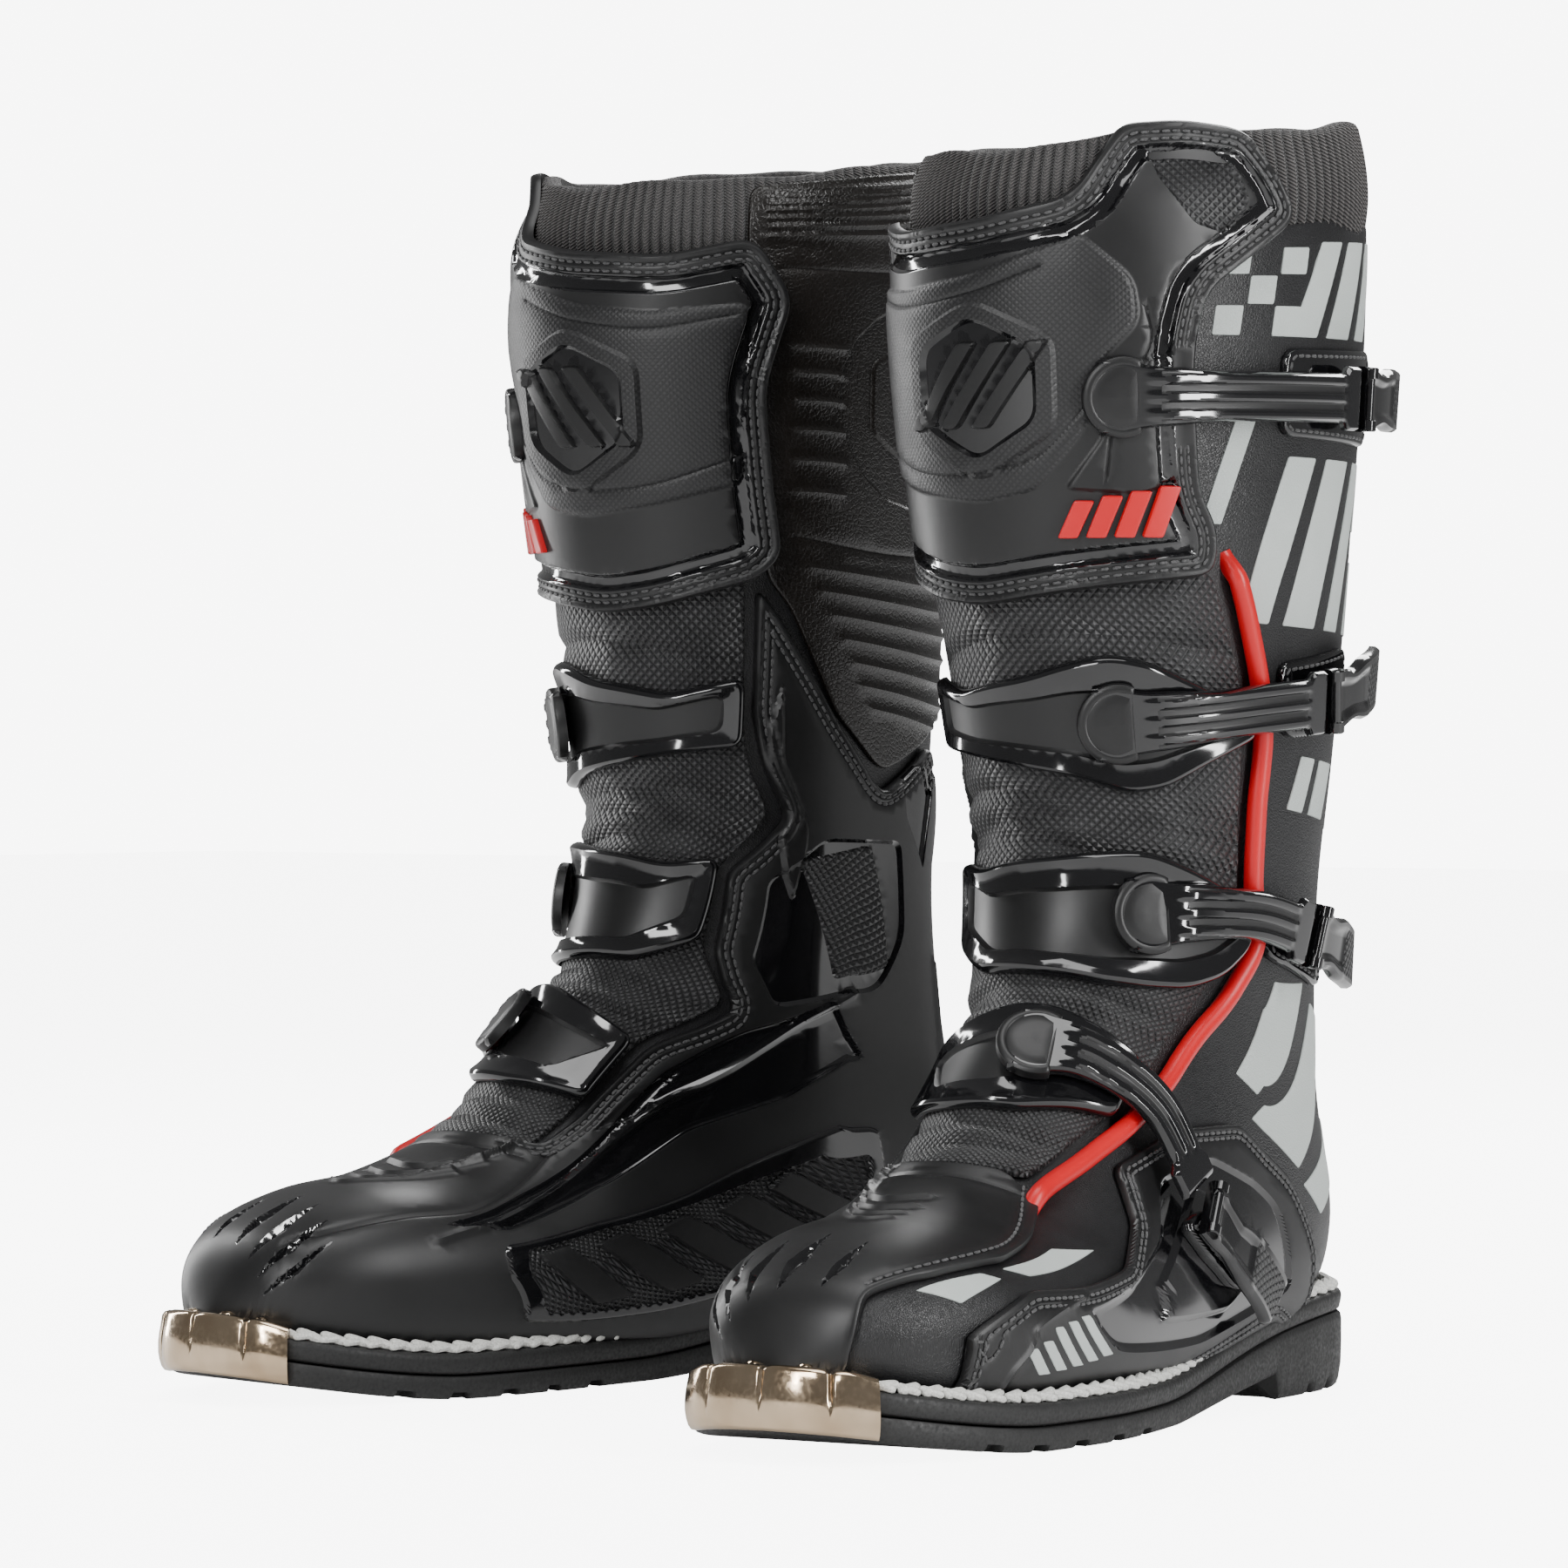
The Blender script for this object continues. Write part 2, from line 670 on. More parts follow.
def math_node(nodes, links, op, a, b=None):
    node = nodes.new("ShaderNodeMath")
    node.operation = op
    for socket, value in zip(node.inputs, (a, b)):
        if value is None:
            continue
        if isinstance(value, (int, float)):
            socket.default_value = value
        else:
            links.new(value, socket)
    return node.outputs[0]


def uv_axes(nodes, links, pitch, angle=0.0):
    """The two texture coordinates, in pitches, turned by angle."""
    where = nodes.new("ShaderNodeTexCoord")
    turn = nodes.new("ShaderNodeMapping")
    turn.inputs["Rotation"].default_value = (0, 0, angle)
    turn.inputs["Scale"].default_value = (1 / pitch,) * 3
    links.new(where.outputs["UV"], turn.inputs["Vector"])
    split = nodes.new("ShaderNodeSeparateXYZ")
    links.new(turn.outputs["Vector"], split.inputs["Vector"])
    return split.outputs["X"], split.outputs["Y"]


def grain(name, low, high, rough, cell=0.9, depth=0.10, coat=0.0):
    """Leather: small cells with creases, and an uneven sheen."""
    mat, nodes, links, bsdf = material(name, low, coat=coat)
    cells = texture(nodes, links, "ShaderNodeTexVoronoi", 1 / cell, feature="DISTANCE_TO_EDGE")
    fine = texture(nodes, links, "ShaderNodeTexNoise", 2.2, Detail=4.0)
    wide = texture(nodes, links, "ShaderNodeTexNoise", 0.03, Detail=5.0)
    links.new(mix_color(nodes, links, wide.outputs["Fac"], low, high), bsdf.inputs["Base Color"])
    links.new(mix_value(nodes, links, wide.outputs["Fac"], rough[0], rough[1]), bsdf.inputs["Roughness"])
    edge = mix_value(nodes, links, cells.outputs["Distance"], 0, 1, 0, 0.22)
    first = bump(nodes, links, fine.outputs["Fac"], 0.25, depth * MM)
    links.new(bump(nodes, links, edge, 0.55, depth * MM, first), bsdf.inputs["Normal"])
    return mat


def moulded(name, low, high, rough, coat=0.0, fine=3.0, depth=0.05, strength=0.3):
    """Moulded plastic: a fine matt texture with faint flow marks."""
    mat, nodes, links, bsdf = material(name, low, coat=coat)
    small = texture(nodes, links, "ShaderNodeTexNoise", fine, Detail=3.0)
    wide = texture(nodes, links, "ShaderNodeTexNoise", 0.02, Detail=6.0, Distortion=0.4)
    links.new(mix_color(nodes, links, wide.outputs["Fac"], low, high), bsdf.inputs["Base Color"])
    links.new(mix_value(nodes, links, wide.outputs["Fac"], *rough), bsdf.inputs["Roughness"])
    links.new(bump(nodes, links, small.outputs["Fac"], strength, depth * MM), bsdf.inputs["Normal"])
    return mat


def dotted(name, low, high, rough, pitch, depth, angle=0.785, strength=1.0, cloth=0.0):
    """Rows of small raised pyramids, as on a woven or embossed technical textile."""
    mat, nodes, links, bsdf = material(name, low, sheen=0.08 if cloth else 0)
    u, v = uv_axes(nodes, links, pitch, angle)
    a = math_node(nodes, links, "PINGPONG", u, 0.5)
    b = math_node(nodes, links, "PINGPONG", v, 0.5)
    peak = math_node(nodes, links, "MINIMUM", a, b)
    peak = mix_value(nodes, links, peak, 0, 1, 0.04, 0.42)
    wide = texture(nodes, links, "ShaderNodeTexNoise", 0.05, Detail=4.0)
    tint = math_node(nodes, links, "MULTIPLY", peak, wide.outputs["Fac"])
    links.new(mix_color(nodes, links, tint, low, high, 0.05, 0.6), bsdf.inputs["Base Color"])
    links.new(mix_value(nodes, links, wide.outputs["Fac"], *rough), bsdf.inputs["Roughness"])
    links.new(bump(nodes, links, peak, strength, depth * MM), bsdf.inputs["Normal"])
    return mat


def herringbone(name, low, high):
    """Knit with slanting wales that change side from rib to rib."""
    mat, nodes, links, bsdf = material(name, low, 0.8, sheen=0.25)
    u, v = uv_axes(nodes, links, 1.0)
    side = math_node(nodes, links, "PINGPONG", u, 2.0)
    slant = math_node(nodes, links, "ADD", v, math_node(nodes, links, "MULTIPLY", side, 0.9))
    wale = math_node(nodes, links, "PINGPONG", slant, 0.55)
    wale = mix_value(nodes, links, wale, 0, 1, 0.05, 0.5)
    depth = mix_value(nodes, links, side, 1, 0.05, 0.5, 1.9)
    tint = math_node(nodes, links, "MULTIPLY", wale, depth)
    fine = texture(nodes, links, "ShaderNodeTexNoise", 4.0, Detail=3.0)
    both = math_node(nodes, links, "ADD", wale, math_node(nodes, links, "MULTIPLY", fine.outputs["Fac"], 0.5))
    links.new(mix_color(nodes, links, tint, low, high, 0.1, 0.9), bsdf.inputs["Base Color"])
    links.new(bump(nodes, links, both, 1.0, 0.6 * MM), bsdf.inputs["Normal"])
    return mat


def rubber(name, low, high):
    mat, nodes, links, bsdf = material(name, low, 0.6)
    wide = texture(nodes, links, "ShaderNodeTexNoise", 0.05, coord="Object", Detail=6.0)
    streak = texture(nodes, links, "ShaderNodeTexNoise", 900.0, coord="Object", Detail=4.0)
    links.new(mix_color(nodes, links, wide.outputs["Fac"], low, high), bsdf.inputs["Base Color"])
    links.new(mix_value(nodes, links, streak.outputs["Fac"], 0.42, 0.75), bsdf.inputs["Roughness"])
    links.new(bump(nodes, links, streak.outputs["Fac"], 0.5, 0.15 * MM), bsdf.inputs["Normal"])
    return mat


def plated(name, low, high):
    """Thin decorative plating: bright, warm, with faint waviness and small scratches."""
    mat, nodes, links, bsdf = material(name, low, 0.12, metal=1.0)
    wide = texture(nodes, links, "ShaderNodeTexNoise", 60.0, coord="Object", Detail=2.0)
    fine = texture(nodes, links, "ShaderNodeTexNoise", 700.0, coord="Object", Detail=3.0)
    links.new(mix_color(nodes, links, wide.outputs["Fac"], low, high), bsdf.inputs["Base Color"])
    links.new(mix_value(nodes, links, fine.outputs["Fac"], 0.07, 0.2), bsdf.inputs["Roughness"])
    links.new(bump(nodes, links, wide.outputs["Fac"], 0.12, 0.6 * MM), bsdf.inputs["Normal"])
    return mat


def thread(name, low, high):
    mat, nodes, links, bsdf = material(name, low, 0.7, sheen=0.2)
    twist = texture(nodes, links, "ShaderNodeTexNoise", 1500.0, coord="Object", Detail=3.0)
    links.new(mix_color(nodes, links, twist.outputs["Fac"], low, high), bsdf.inputs["Base Color"])
    links.new(bump(nodes, links, twist.outputs["Fac"], 0.6, 0.2 * MM), bsdf.inputs["Normal"])
    return mat


INK, INK_HIGH = (0.009, 0.009, 0.010), (0.014, 0.014, 0.0155)
LOOKS = {
    "matte": moulded("satin_moulding", (0.006, 0.006, 0.0063), (0.010, 0.010, 0.0105), (0.36, 0.48)),
    "honeycomb": dotted("honeycomb_moulding", (0.008, 0.008, 0.0085), (0.022, 0.022, 0.023), (0.42, 0.52),
                        1.5, 0.12, strength=0.6),
    "gloss": moulded("gloss_moulding", (0.004, 0.004, 0.0045), (0.006, 0.006, 0.007), (0.06, 0.13), coat=0.6,
                     fine=0.25, depth=0.04, strength=0.06),
    "leather": grain("grained_leather", (0.006, 0.006, 0.0065), (0.010, 0.010, 0.011), (0.34, 0.48)),
    "embossed": grain("embossed_leather", (0.005, 0.004, 0.0032), (0.010, 0.0075, 0.006), (0.28, 0.42),
                      cell=1.4, depth=0.14),
    "textile": dotted("padded_textile", (0.004, 0.004, 0.0045), (0.085, 0.085, 0.088), (0.42, 0.55), 2.3, 0.9,
                      cloth=1),
    "wedge": dotted("dotted_inlay", (0.004, 0.004, 0.0045), (0.05, 0.05, 0.052), (0.35, 0.45), 2.0, 0.7),
    "knit": herringbone("knit_collar", (0.006, 0.0055, 0.0055), (0.095, 0.084, 0.081)),
    "lining": dotted("lining_mesh", (0.008, 0.008, 0.0085), (0.03, 0.03, 0.031), (0.8, 0.9), 1.2, 0.2,
                     cloth=1),
    "rubber": rubber("sole_rubber", (0.008, 0.008, 0.008), (0.018, 0.018, 0.018)),
    "red": moulded("red_piping", (0.56, 0.002, 0.006), (0.66, 0.004, 0.010), (0.32, 0.42)),
    "print": grain("pale_print", (0.46, 0.50, 0.48), (0.52, 0.56, 0.54), (0.45, 0.55), depth=0.08),
    "thread": thread("black_thread", (0.02, 0.02, 0.0205), (0.09, 0.09, 0.092)),
    "welt_thread": thread("welt_thread", (0.50, 0.50, 0.47), (0.80, 0.80, 0.76)),
    "cap": plated("toe_cap_plating", (0.50, 0.37, 0.24), (0.70, 0.55, 0.39)),
    "steel": plated("rivet_steel", (0.42, 0.42, 0.44), (0.6, 0.6, 0.62)),
    "board": dotted("insole_cover", (0.03, 0.03, 0.031), (0.06, 0.06, 0.062), (0.8, 0.9), 1.4, 0.15, cloth=1),
}


# ---------------------------------------------------------------- pieces
def to_world(v, sign):
    a = math.radians(SPLAY)
    x = v[:, 0] * math.cos(a) - v[:, 1] * math.sin(a) + SPACING / 2
    y = v[:, 0] * math.sin(a) + v[:, 1] * math.cos(a) - sign * STAGGER / 2 - PAIR_CENTRE_Y
    return np.stack([sign * x, y, v[:, 2]], 1) * MM


def face_out(data):
    """Turns every face of a closed mesh outwards."""
    work = bmesh.new()
    work.from_mesh(data)
    bmesh.ops.recalc_face_normals(work, faces=work.faces)
    work.to_mesh(data)
    work.free()


def piece(name, mesh, looks, body="boot", nodes=(), angle=35):
    """Adds the piece to both boots."""
    looks = [looks] if isinstance(looks, str) else looks
    for side, sign in (("left", 1), ("right", -1)):
        data = bpy.data.meshes.new(f"{side}_{name}_mesh")
        faces = mesh.f if sign > 0 else [face[::-1] for face in mesh.f]
        data.from_pydata(to_world(mesh.v, sign).tolist(), [], faces)
        for look in looks:
            data.materials.append(LOOKS[look])
        data.polygons.foreach_set("material_index", mesh.m)
        data.polygons.foreach_set("use_smooth", [True] * len(faces))
        layer = data.uv_layers.new(name="UVMap")
        index = np.empty(len(data.loops), dtype=np.int32)
        data.loops.foreach_get("vertex_index", index)
        layer.data.foreach_set("uv", mesh.uv[index].astype(np.float32).ravel())
        data.validate()
        face_out(data)
        data.set_sharp_from_angle(angle=math.radians(angle))
        obj = bpy.data.objects.new(f"{side}_{name}_look", data)
        bpy.context.scene.collection.objects.link(obj)
        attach(obj, f"{side}_{body}")
        if nodes:
            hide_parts(*[f"{side}_{n}" for n in nodes])


# ---------------------------------------------------------------- sole
def outline_xy(count=420, offset=0.0):
    """The sole's outline, evenly spaced, counter-clockwise from above, moved out by offset."""
    y = np.array(SOLE_Y, float)
    out = np.stack([np.array(SOLE_OUT, float), y], 1)
    inn = np.stack([-np.array(SOLE_IN, float), y], 1)[::-1]
    p = np.vstack([out, inn, out[:1]])
    # corner-cutting gives a fair curve through nearly the same points
    for _ in range(3):
        a, b = p[:-1], p[1:]
        p = np.stack([a * 0.75 + b * 0.25, a * 0.25 + b * 0.75], 1).reshape(-1, 2)
        p = np.vstack([p, p[:1]])
    s = lengths(p)
    at = np.linspace(0, s[-1], count, endpoint=False)
    q = np.stack([np.interp(at, s, p[:, 0]), np.interp(at, s, p[:, 1])], 1)
    ahead = np.roll(q, -1, 0) - np.roll(q, 1, 0)
    away = np.stack([ahead[:, 1], -ahead[:, 0]], 1)
    away /= np.linalg.norm(away, axis=1, keepdims=True)
    return q + away * offset, away


HEEL_FRONT = 79


def sole_bottom(y):
    arch = 7.5 * np.clip((y + 8) / (HEEL_FRONT + 8), 0, 1) ** 1.4
    return np.where(y >= HEEL_FRONT, 0, spring(y) + arch)


def tread(y):
    """Depth of the notches in the tread's edge at y."""
    fore = (y > -128) & (y < -22)
    saw = np.where(fore, 3.2 * (((y + 128) / 19.0) % 1 > 0.72), 0)
    back = (y > 88) & (y < 150)
    return saw + np.where(back, 2.6 * (((y - 88) / 15.5) % 1 > 0.7), 0)


def cap_loop(loop, up):
    """Faces filling a closed loop, with points inside it."""
    xy = loop[:, :2]
    low, high = xy.min(0), xy.max(0)
    gx, gy = np.meshgrid(np.arange(low[0] + 5, high[0], 9), np.arange(low[1] + 5, high[1], 9))
    g = np.stack([gx.ravel(), gy.ravel()], 1)
    g = g[inside(g, xy)]
    near = np.array([np.min(((xy - q) ** 2).sum(1)) for q in g]) > 16
    g = g[near]
    faces = triangulate(np.vstack([xy, g]), len(xy))
    made = []
    pts = np.vstack([xy, g])
    for f in faces:
        a, b, c = pts[f[0]], pts[f[1]], pts[f[2]]
        left = (b[0] - a[0]) * (c[1] - a[1]) - (b[1] - a[1]) * (c[0] - a[0]) > 0
        made.append(tuple(f) if left == up else tuple(f[::-1]))
    return g, made


def slab_of(levels, top_z, bottom_z, count=520, notch=None, wave=None):
    """The sole or welt as stacked outlines: levels are (height share from bottom to top, outward offset)."""
    loops = []
    for share, offset in levels:
        xy, away = outline_xy(count, offset)
        if wave is not None:
            xy = xy + away * wave(np.arange(count), share)[:, None]
        y = np.clip(xy[:, 1], -SOLE_END, SOLE_END)
        low = bottom_z(y)
        if notch is not None:
            low = low + notch(y) * (1 - smoothstep(share, 0.0, 0.35))
        z = low + (top_z(y) - low) * share
        loops.append(np.column_stack([xy, z]))
    loops = np.array(loops)
    n = count
    v, f = loops.reshape(-1, 3), []
    for r in range(len(loops) - 1):
        for k in range(n):
            a, b = r * n + k, r * n + (k + 1) % n
            f.append((a, b, b + n, a + n))
    for loop, up, height in ((loops[0], False, bottom_z), (loops[-1], True, top_z)):
        g, faces = cap_loop(loop, up)
        start = len(v)
        base = 0 if not up else (len(loops) - 1) * n
        z = height(np.clip(g[:, 1], -SOLE_END, SOLE_END))
        v = np.vstack([v, np.column_stack([g, z])])
        f += [tuple(k + base if k < n else k - n + start for k in face) for face in faces]
    return Mesh(v, f, v[:, :2].copy())


def outsole_mesh():
    rough = np.random.default_rng(4).normal(0, 1, 520)
    rough = np.convolve(np.concatenate([rough[-6:], rough, rough[:6]]), np.ones(5) / 5, "same")[6:-6]
    levels = [(0.0, -2.2), (0.04, -1.2), (0.12, -0.6), (0.3, -0.2), (0.6, 0.0), (0.9, 0.0), (0.97, -0.3),
              (1.0, -0.9)]
    return slab_of(levels, lambda y: welt_top(y) - 7.0, sole_bottom, notch=tread,
                   wave=lambda k, share: rough * 0.22 * smoothstep(share, 0, 0.3))


def midsole_mesh():
    levels = [(0.0, -1.3), (0.1, -0.5), (0.35, -0.1), (0.62, 0.15), (0.8, 0.0), (0.92, -0.5), (1.0, -1.6)]
    return slab_of(levels, welt_top, lambda y: welt_top(y) - 6.5)


def welt_path(offset, count=700):
    xy, _ = outline_xy(count, offset)
    z = welt_top(np.clip(xy[:, 1], -SOLE_END, SOLE_END))
    p = np.column_stack([xy, z])
    return p


def resample3(p, pitch, closed=True):
    q = np.vstack([p, p[:1]]) if closed else p
    s = lengths(q)
    n = int(s[-1] / pitch)
    at = np.linspace(0, s[-1], n, endpoint=not closed)
    return np.stack([np.interp(at, s, q[:, k]) for k in range(3)], 1)


def row_on_welt(offset, lift, pitch, length, width, tilt, y_from=-146.0, jitter=0.0, seed=1, height=None,
                rise=0.0):
    """Stitches standing on the welt, set in from the sole's edge by -offset."""
    p = resample3(welt_path(offset), pitch)
    ahead = np.roll(p, -1, 0) - np.roll(p, 1, 0)
    ahead /= np.linalg.norm(ahead, axis=1, keepdims=True)
    up = np.tile([0.0, 0.0, 1.0], (len(p), 1))
    left = np.cross(up, ahead)
    left /= np.linalg.norm(left, axis=1, keepdims=True)
    up = np.cross(ahead, left)
    keep = p[:, 1] > y_from
    rng = np.random.default_rng(seed)
    twist = tilt + rng.normal(0, jitter, len(p))
    c, s = np.cos(twist)[:, None], np.sin(twist)[:, None]
    along, side = ahead * c + left * s, left * c - ahead * s
    along = along + up * rise
    along /= np.linalg.norm(along, axis=1, keepdims=True)
    top = np.cross(along, side)
    p = p + up * (lift + rng.normal(0, jitter, len(p))[:, None] * 0.6)
    return scatter(pill(length, width, height or width * 0.8, 8), p[keep], along[keep], side[keep], top[keep])


def welt_stitching():
    """Chunky lock stitches: slanted loops braided over a running thread, in two rows round the heel."""
    made = row_on_welt(-3.4, 1.8, 7.4, 8.6, 3.1, 0.24, jitter=0.12, seed=2, height=3.0, rise=0.20)
    made.add(row_on_welt(-2.2, 1.4, 7.4, 7.4, 2.4, -0.24, jitter=0.12, seed=3, height=2.4, rise=-0.20))
    made.add(row_on_welt(-4.6, 0.9, 7.4, 6.4, 2.4, 0.10, jitter=0.08, seed=5, height=1.8))
    made.add(row_on_welt(-1.5, -2.4, 6.2, 5.2, 1.7, 0.12, y_from=70.0, jitter=0.05, seed=7, height=1.5))
    return made


# ---------------------------------------------------------------- toe cap
CAP_BACK = -145


def cap_mesh():
    """Sheet metal wrapped round the front of the sole, its upper flange slit into tabs."""
    xy, away = outline_xy(1400)
    order = sorted(np.where(xy[:, 1] < CAP_BACK)[0], key=lambda k: xy[k, 0])
    q, out = xy[order], away[order]
    s = lengths(q)
    slits = np.array([0.2, 0.5, 0.8]) * s[-1]
    near_slit = (slits[:, None] + np.array([-2.4, -1.4, -0.8, -0.35, 0, 0.35, 0.8, 1.4, 2.4])).ravel()
    at = np.unique(np.concatenate([np.linspace(0, s[-1], 90), near_slit]))
    base = np.stack([np.interp(at, s, q[:, k]) for k in range(2)], 1)
    side = np.stack([np.interp(at, s, out[:, k]) for k in range(2)], 1)
    side /= np.linalg.norm(side, axis=1, keepdims=True)
    edge = np.abs(at[:, None] - slits).min(1)
    slit, dent = 1.7 * np.exp(-((edge / 0.55) ** 2)), 0.45 * np.exp(-((edge / 2.4) ** 2))
    loops = []
    for k in range(len(at)):
        y, ring = base[k, 1], []
        tip = 2.8 * smoothstep(-y, 138, 152)
        for o, h, over in cap_profile():
            yy = np.clip(y + side[k, 1] * min(o, 0), -SOLE_END, SOLE_END)
            flange = over and h > 0.6
            z = welt_top(yy) + h + (tip if h > 0 else 0.4 * tip) if over else spring(y) + h
            z -= (slit[k] + dent[k]) if flange and h > 1 else 0
            inset = (dent[k] + 0.5 * slit[k]) if over else 0.6 * dent[k]
            ring.append((base[k, 0] + side[k, 0] * (o - inset), y + side[k, 1] * (o - inset), z))
        loops.append(ring)
    return loop_solid(np.array(loops)[::-1])


def cap_profile():
    """Outward offset, height, and whether the height counts from the welt (True) or the floor."""
    return [(-7.6, 0.7, True), (-7.9, 1.3, True), (-7.4, 1.7, True), (-3.5, 1.9, True), (0.2, 1.9, True),
            (1.5, 1.5, True), (2.3, 0.5, True), (2.8, -1.0, True), (3.2, -3.2, True), (3.5, -6.0, True),
            (3.5, 6.0, False), (3.1, 3.6, False), (2.5, 1.7, False), (1.6, 0.5, False), (0.2, 0.2, False),
            (-1.0, 0.3, False), (-1.0, 1.0, False), (0.4, 1.2, False), (1.0, 2.2, False), (1.2, 6.0, False),
            (1.3, -1.4, True), (0.8, 0.3, True), (-0.4, 0.8, True), (-3.5, 0.9, True)]


def dome(centre, up, radius, height, slot_deep=0.5, sides=24):
    """A pan-head screw: a dome with a cross cut."""
    up = np.array(up, float) / np.linalg.norm(up)
    x = np.cross(up, [0.3, 1, 0.2])
    x /= np.linalg.norm(x)
    y = np.cross(up, x)
    rows = [(1.0, -0.6), (1.0, 0.1), (0.96, 0.45), (0.82, 0.75), (0.6, 0.92), (0.42, 0.97), (0.2, 1.0)]
    a = np.arange(sides) * 2 * np.pi / sides
    loops = []
    for r, h in rows:
        cross = (np.minimum(np.abs(np.cos(a)), np.abs(np.sin(a))) < 0.25) & (r < 0.65)
        z = h * height - np.where(cross, slot_deep, 0)
        loops.append(centre + (x * np.cos(a)[:, None] + y * np.sin(a)[:, None]) * radius * r
                     + up * z[:, None])
    return loop_solid(np.array(loops))


def cap_screws():
    made = Mesh()
    xy, _ = outline_xy(1400, -4.4)
    for x in (-19, -7.5, 8.5, 20.5):
        front = xy[:, 1] < -120
        k = np.where(front)[0][np.argmin(np.abs(xy[front, 0] - x))]
        y = xy[k, 1]
        z = welt_top(max(y, -SOLE_END)) + 1.7 + 2.8 * smoothstep(-y, 138, 152)
        made.add(dome(np.array([xy[k, 0], y, z]), (0, -0.2, 1), 2.5, 1.3))
    return made


# ---------------------------------------------------------------- collar, leathers and lining
def collar_mesh():
    """The knit collar and the lining below it, in one: ribs outside, smooth inside."""
    ribs = 116
    phi = np.linspace(-180, 180, ribs * 5, endpoint=False)
    wave = 0.5 + 0.5 * np.cos(np.radians(phi) * ribs)
    wobble = 0.35 * np.sin(np.radians(phi) * 3 + 0.6) + 0.25 * np.sin(np.radians(phi) * 7)
    # the rim is highest beside the guard's wing and sags a little elsewhere
    rim_t = (1.06 - 0.14 * np.exp(-(((phi - 48) / 24) ** 2)) + 0.03 * np.sin(np.radians(phi) * 5)
             + 0.018 * np.sin(np.radians(phi) * 11 + 1))
    shares = np.concatenate([[-2.2, -1.35, -0.5], np.linspace(0, 0.965, 26)])
    outer, uvs = [], []
    for share in shares:
        t = 2.7 + (rim_t - 2.7) * share
        h = -3.4 + 2.3 * smoothstep(t, 2.6, 1.9) + (1.5 * wave + wobble * 0.9) * smoothstep(t, 2.75, 2.4)
        h = h + 1.5 * np.sin(np.clip((2.3 - t) / 1.2, 0, 1) * np.pi) * (1 - 0.6 * smoothstep(phi, 25, 45))
        outer.append(skin(t, phi, h))
        uvs.append(np.stack([phi / 360 * ribs * 4.0, np.interp(t, T_GRID, LENGTH)], 1))
    rim = []
    for k, turn in enumerate(np.linspace(0.25, 2.9, 6)):
        t = rim_t - 0.045 * math.sin(turn)
        h = -3.35 + 2.45 * math.cos(turn) + 0.8 * wave * max(0, math.cos(turn))
        rim.append(skin(t, phi, h + wobble * 0.5))
        uvs.append(np.stack([phi / 360 * ribs * 4.0, np.full_like(phi, 20 - k * 1.0)], 1))
    inner = [skin(rim_t + 0.1 + (6.3 - rim_t) * x, phi, np.full_like(phi, -6.0))
             for x in np.linspace(0, 1, 22)]
    uvs += [np.stack([phi / 360 * ribs * 4.0, np.full_like(phi, 20.0 + 12 * k)], 1) for k in range(22)]
    grid = np.array(outer + rim + inner)
    rows, cols = grid.shape[:2]
    v, f, m = grid.reshape(-1, 3), [], []
    for i in range(rows):
        nxt = (i + 1) % rows
        for j in range(cols):
            a, b = i * cols + j, i * cols + (j + 1) % cols
            c, d = nxt * cols + (j + 1) % cols, nxt * cols + j
            f.append((a, b, c, d))
            m.append(0 if i < len(outer) + 6 else 1)
    return Mesh(v, f, np.array(uvs).reshape(-1, 2), m)


def tube_leather(tops, bottom, outer, inner, folds=None):
    """A leg leather: a closed tube wall whose top edge follows tops(phi)."""
    phi = np.linspace(-180, 180, 240, endpoint=False)
    top = tops(phi)
    v = np.concatenate([[0, 0.004, 0.012, 0.03], np.linspace(0.06, 1, 34)])
    t = top[None] + (bottom - top)[None] * v[:, None]
    lift = np.minimum(0, -0.9 + 0.9 * np.sqrt(np.clip(v / 0.03, 0, 1)))[:, None]
    pp = np.tile(phi, (len(v), 1))
    h = outer + lift + (0 if folds is None else folds(t, pp))
    uv = to_uv(np.stack([t, pp], -1))
    return grid_solid(skin(t, pp, h), skin(t, pp, np.full_like(t, inner)), wrap_u=True, uv=uv)


def foot_leather():
    """The foot's leather from the ankle to the toe, down to the welt."""
    ts = np.concatenate([np.linspace(5.45, 8.6, 40), np.linspace(8.68, 14.9, 70)])
    share = np.linspace(0, 1, 121)
    rows_t, rows_p = [], []
    for t in ts:
        lo, hi = sole_angle(t, -1), sole_angle(t, 1)
        rows_t.append(np.full(121, t))
        rows_p.append(lo + (hi - lo) * share)
    t, p = np.array(rows_t), np.array(rows_p)
    uv = to_uv(np.stack([t, p], -1))
    return grid_solid(skin(t, p, np.full_like(t, 0.0)), skin(t, p, np.full_like(t, -2.4)), uv=uv)


SOLE_ANGLES = {}


def sole_angle(t, side, below=0.0):
    """The angle where the last meets the welt at station t."""
    key = (round(float(t), 3), side, below)
    if key not in SOLE_ANGLES:
        phi = np.arange(60, 180.1, 0.5)
        p = last(np.full_like(phi, t), phi * side)
        above = p[:, 2] > welt_top(p[:, 1]) + 0.4 - below
        SOLE_ANGLES[key] = side * float(phi[above].max() if above.any() else 60)
    return SOLE_ANGLES[key]


def sole_line(t_from, t_to, side, count=12, below=0.3):
    """Outline points along the welt between two stations."""
    return [(t, sole_angle(t, side, below)) for t in np.linspace(t_from, t_to, count)]


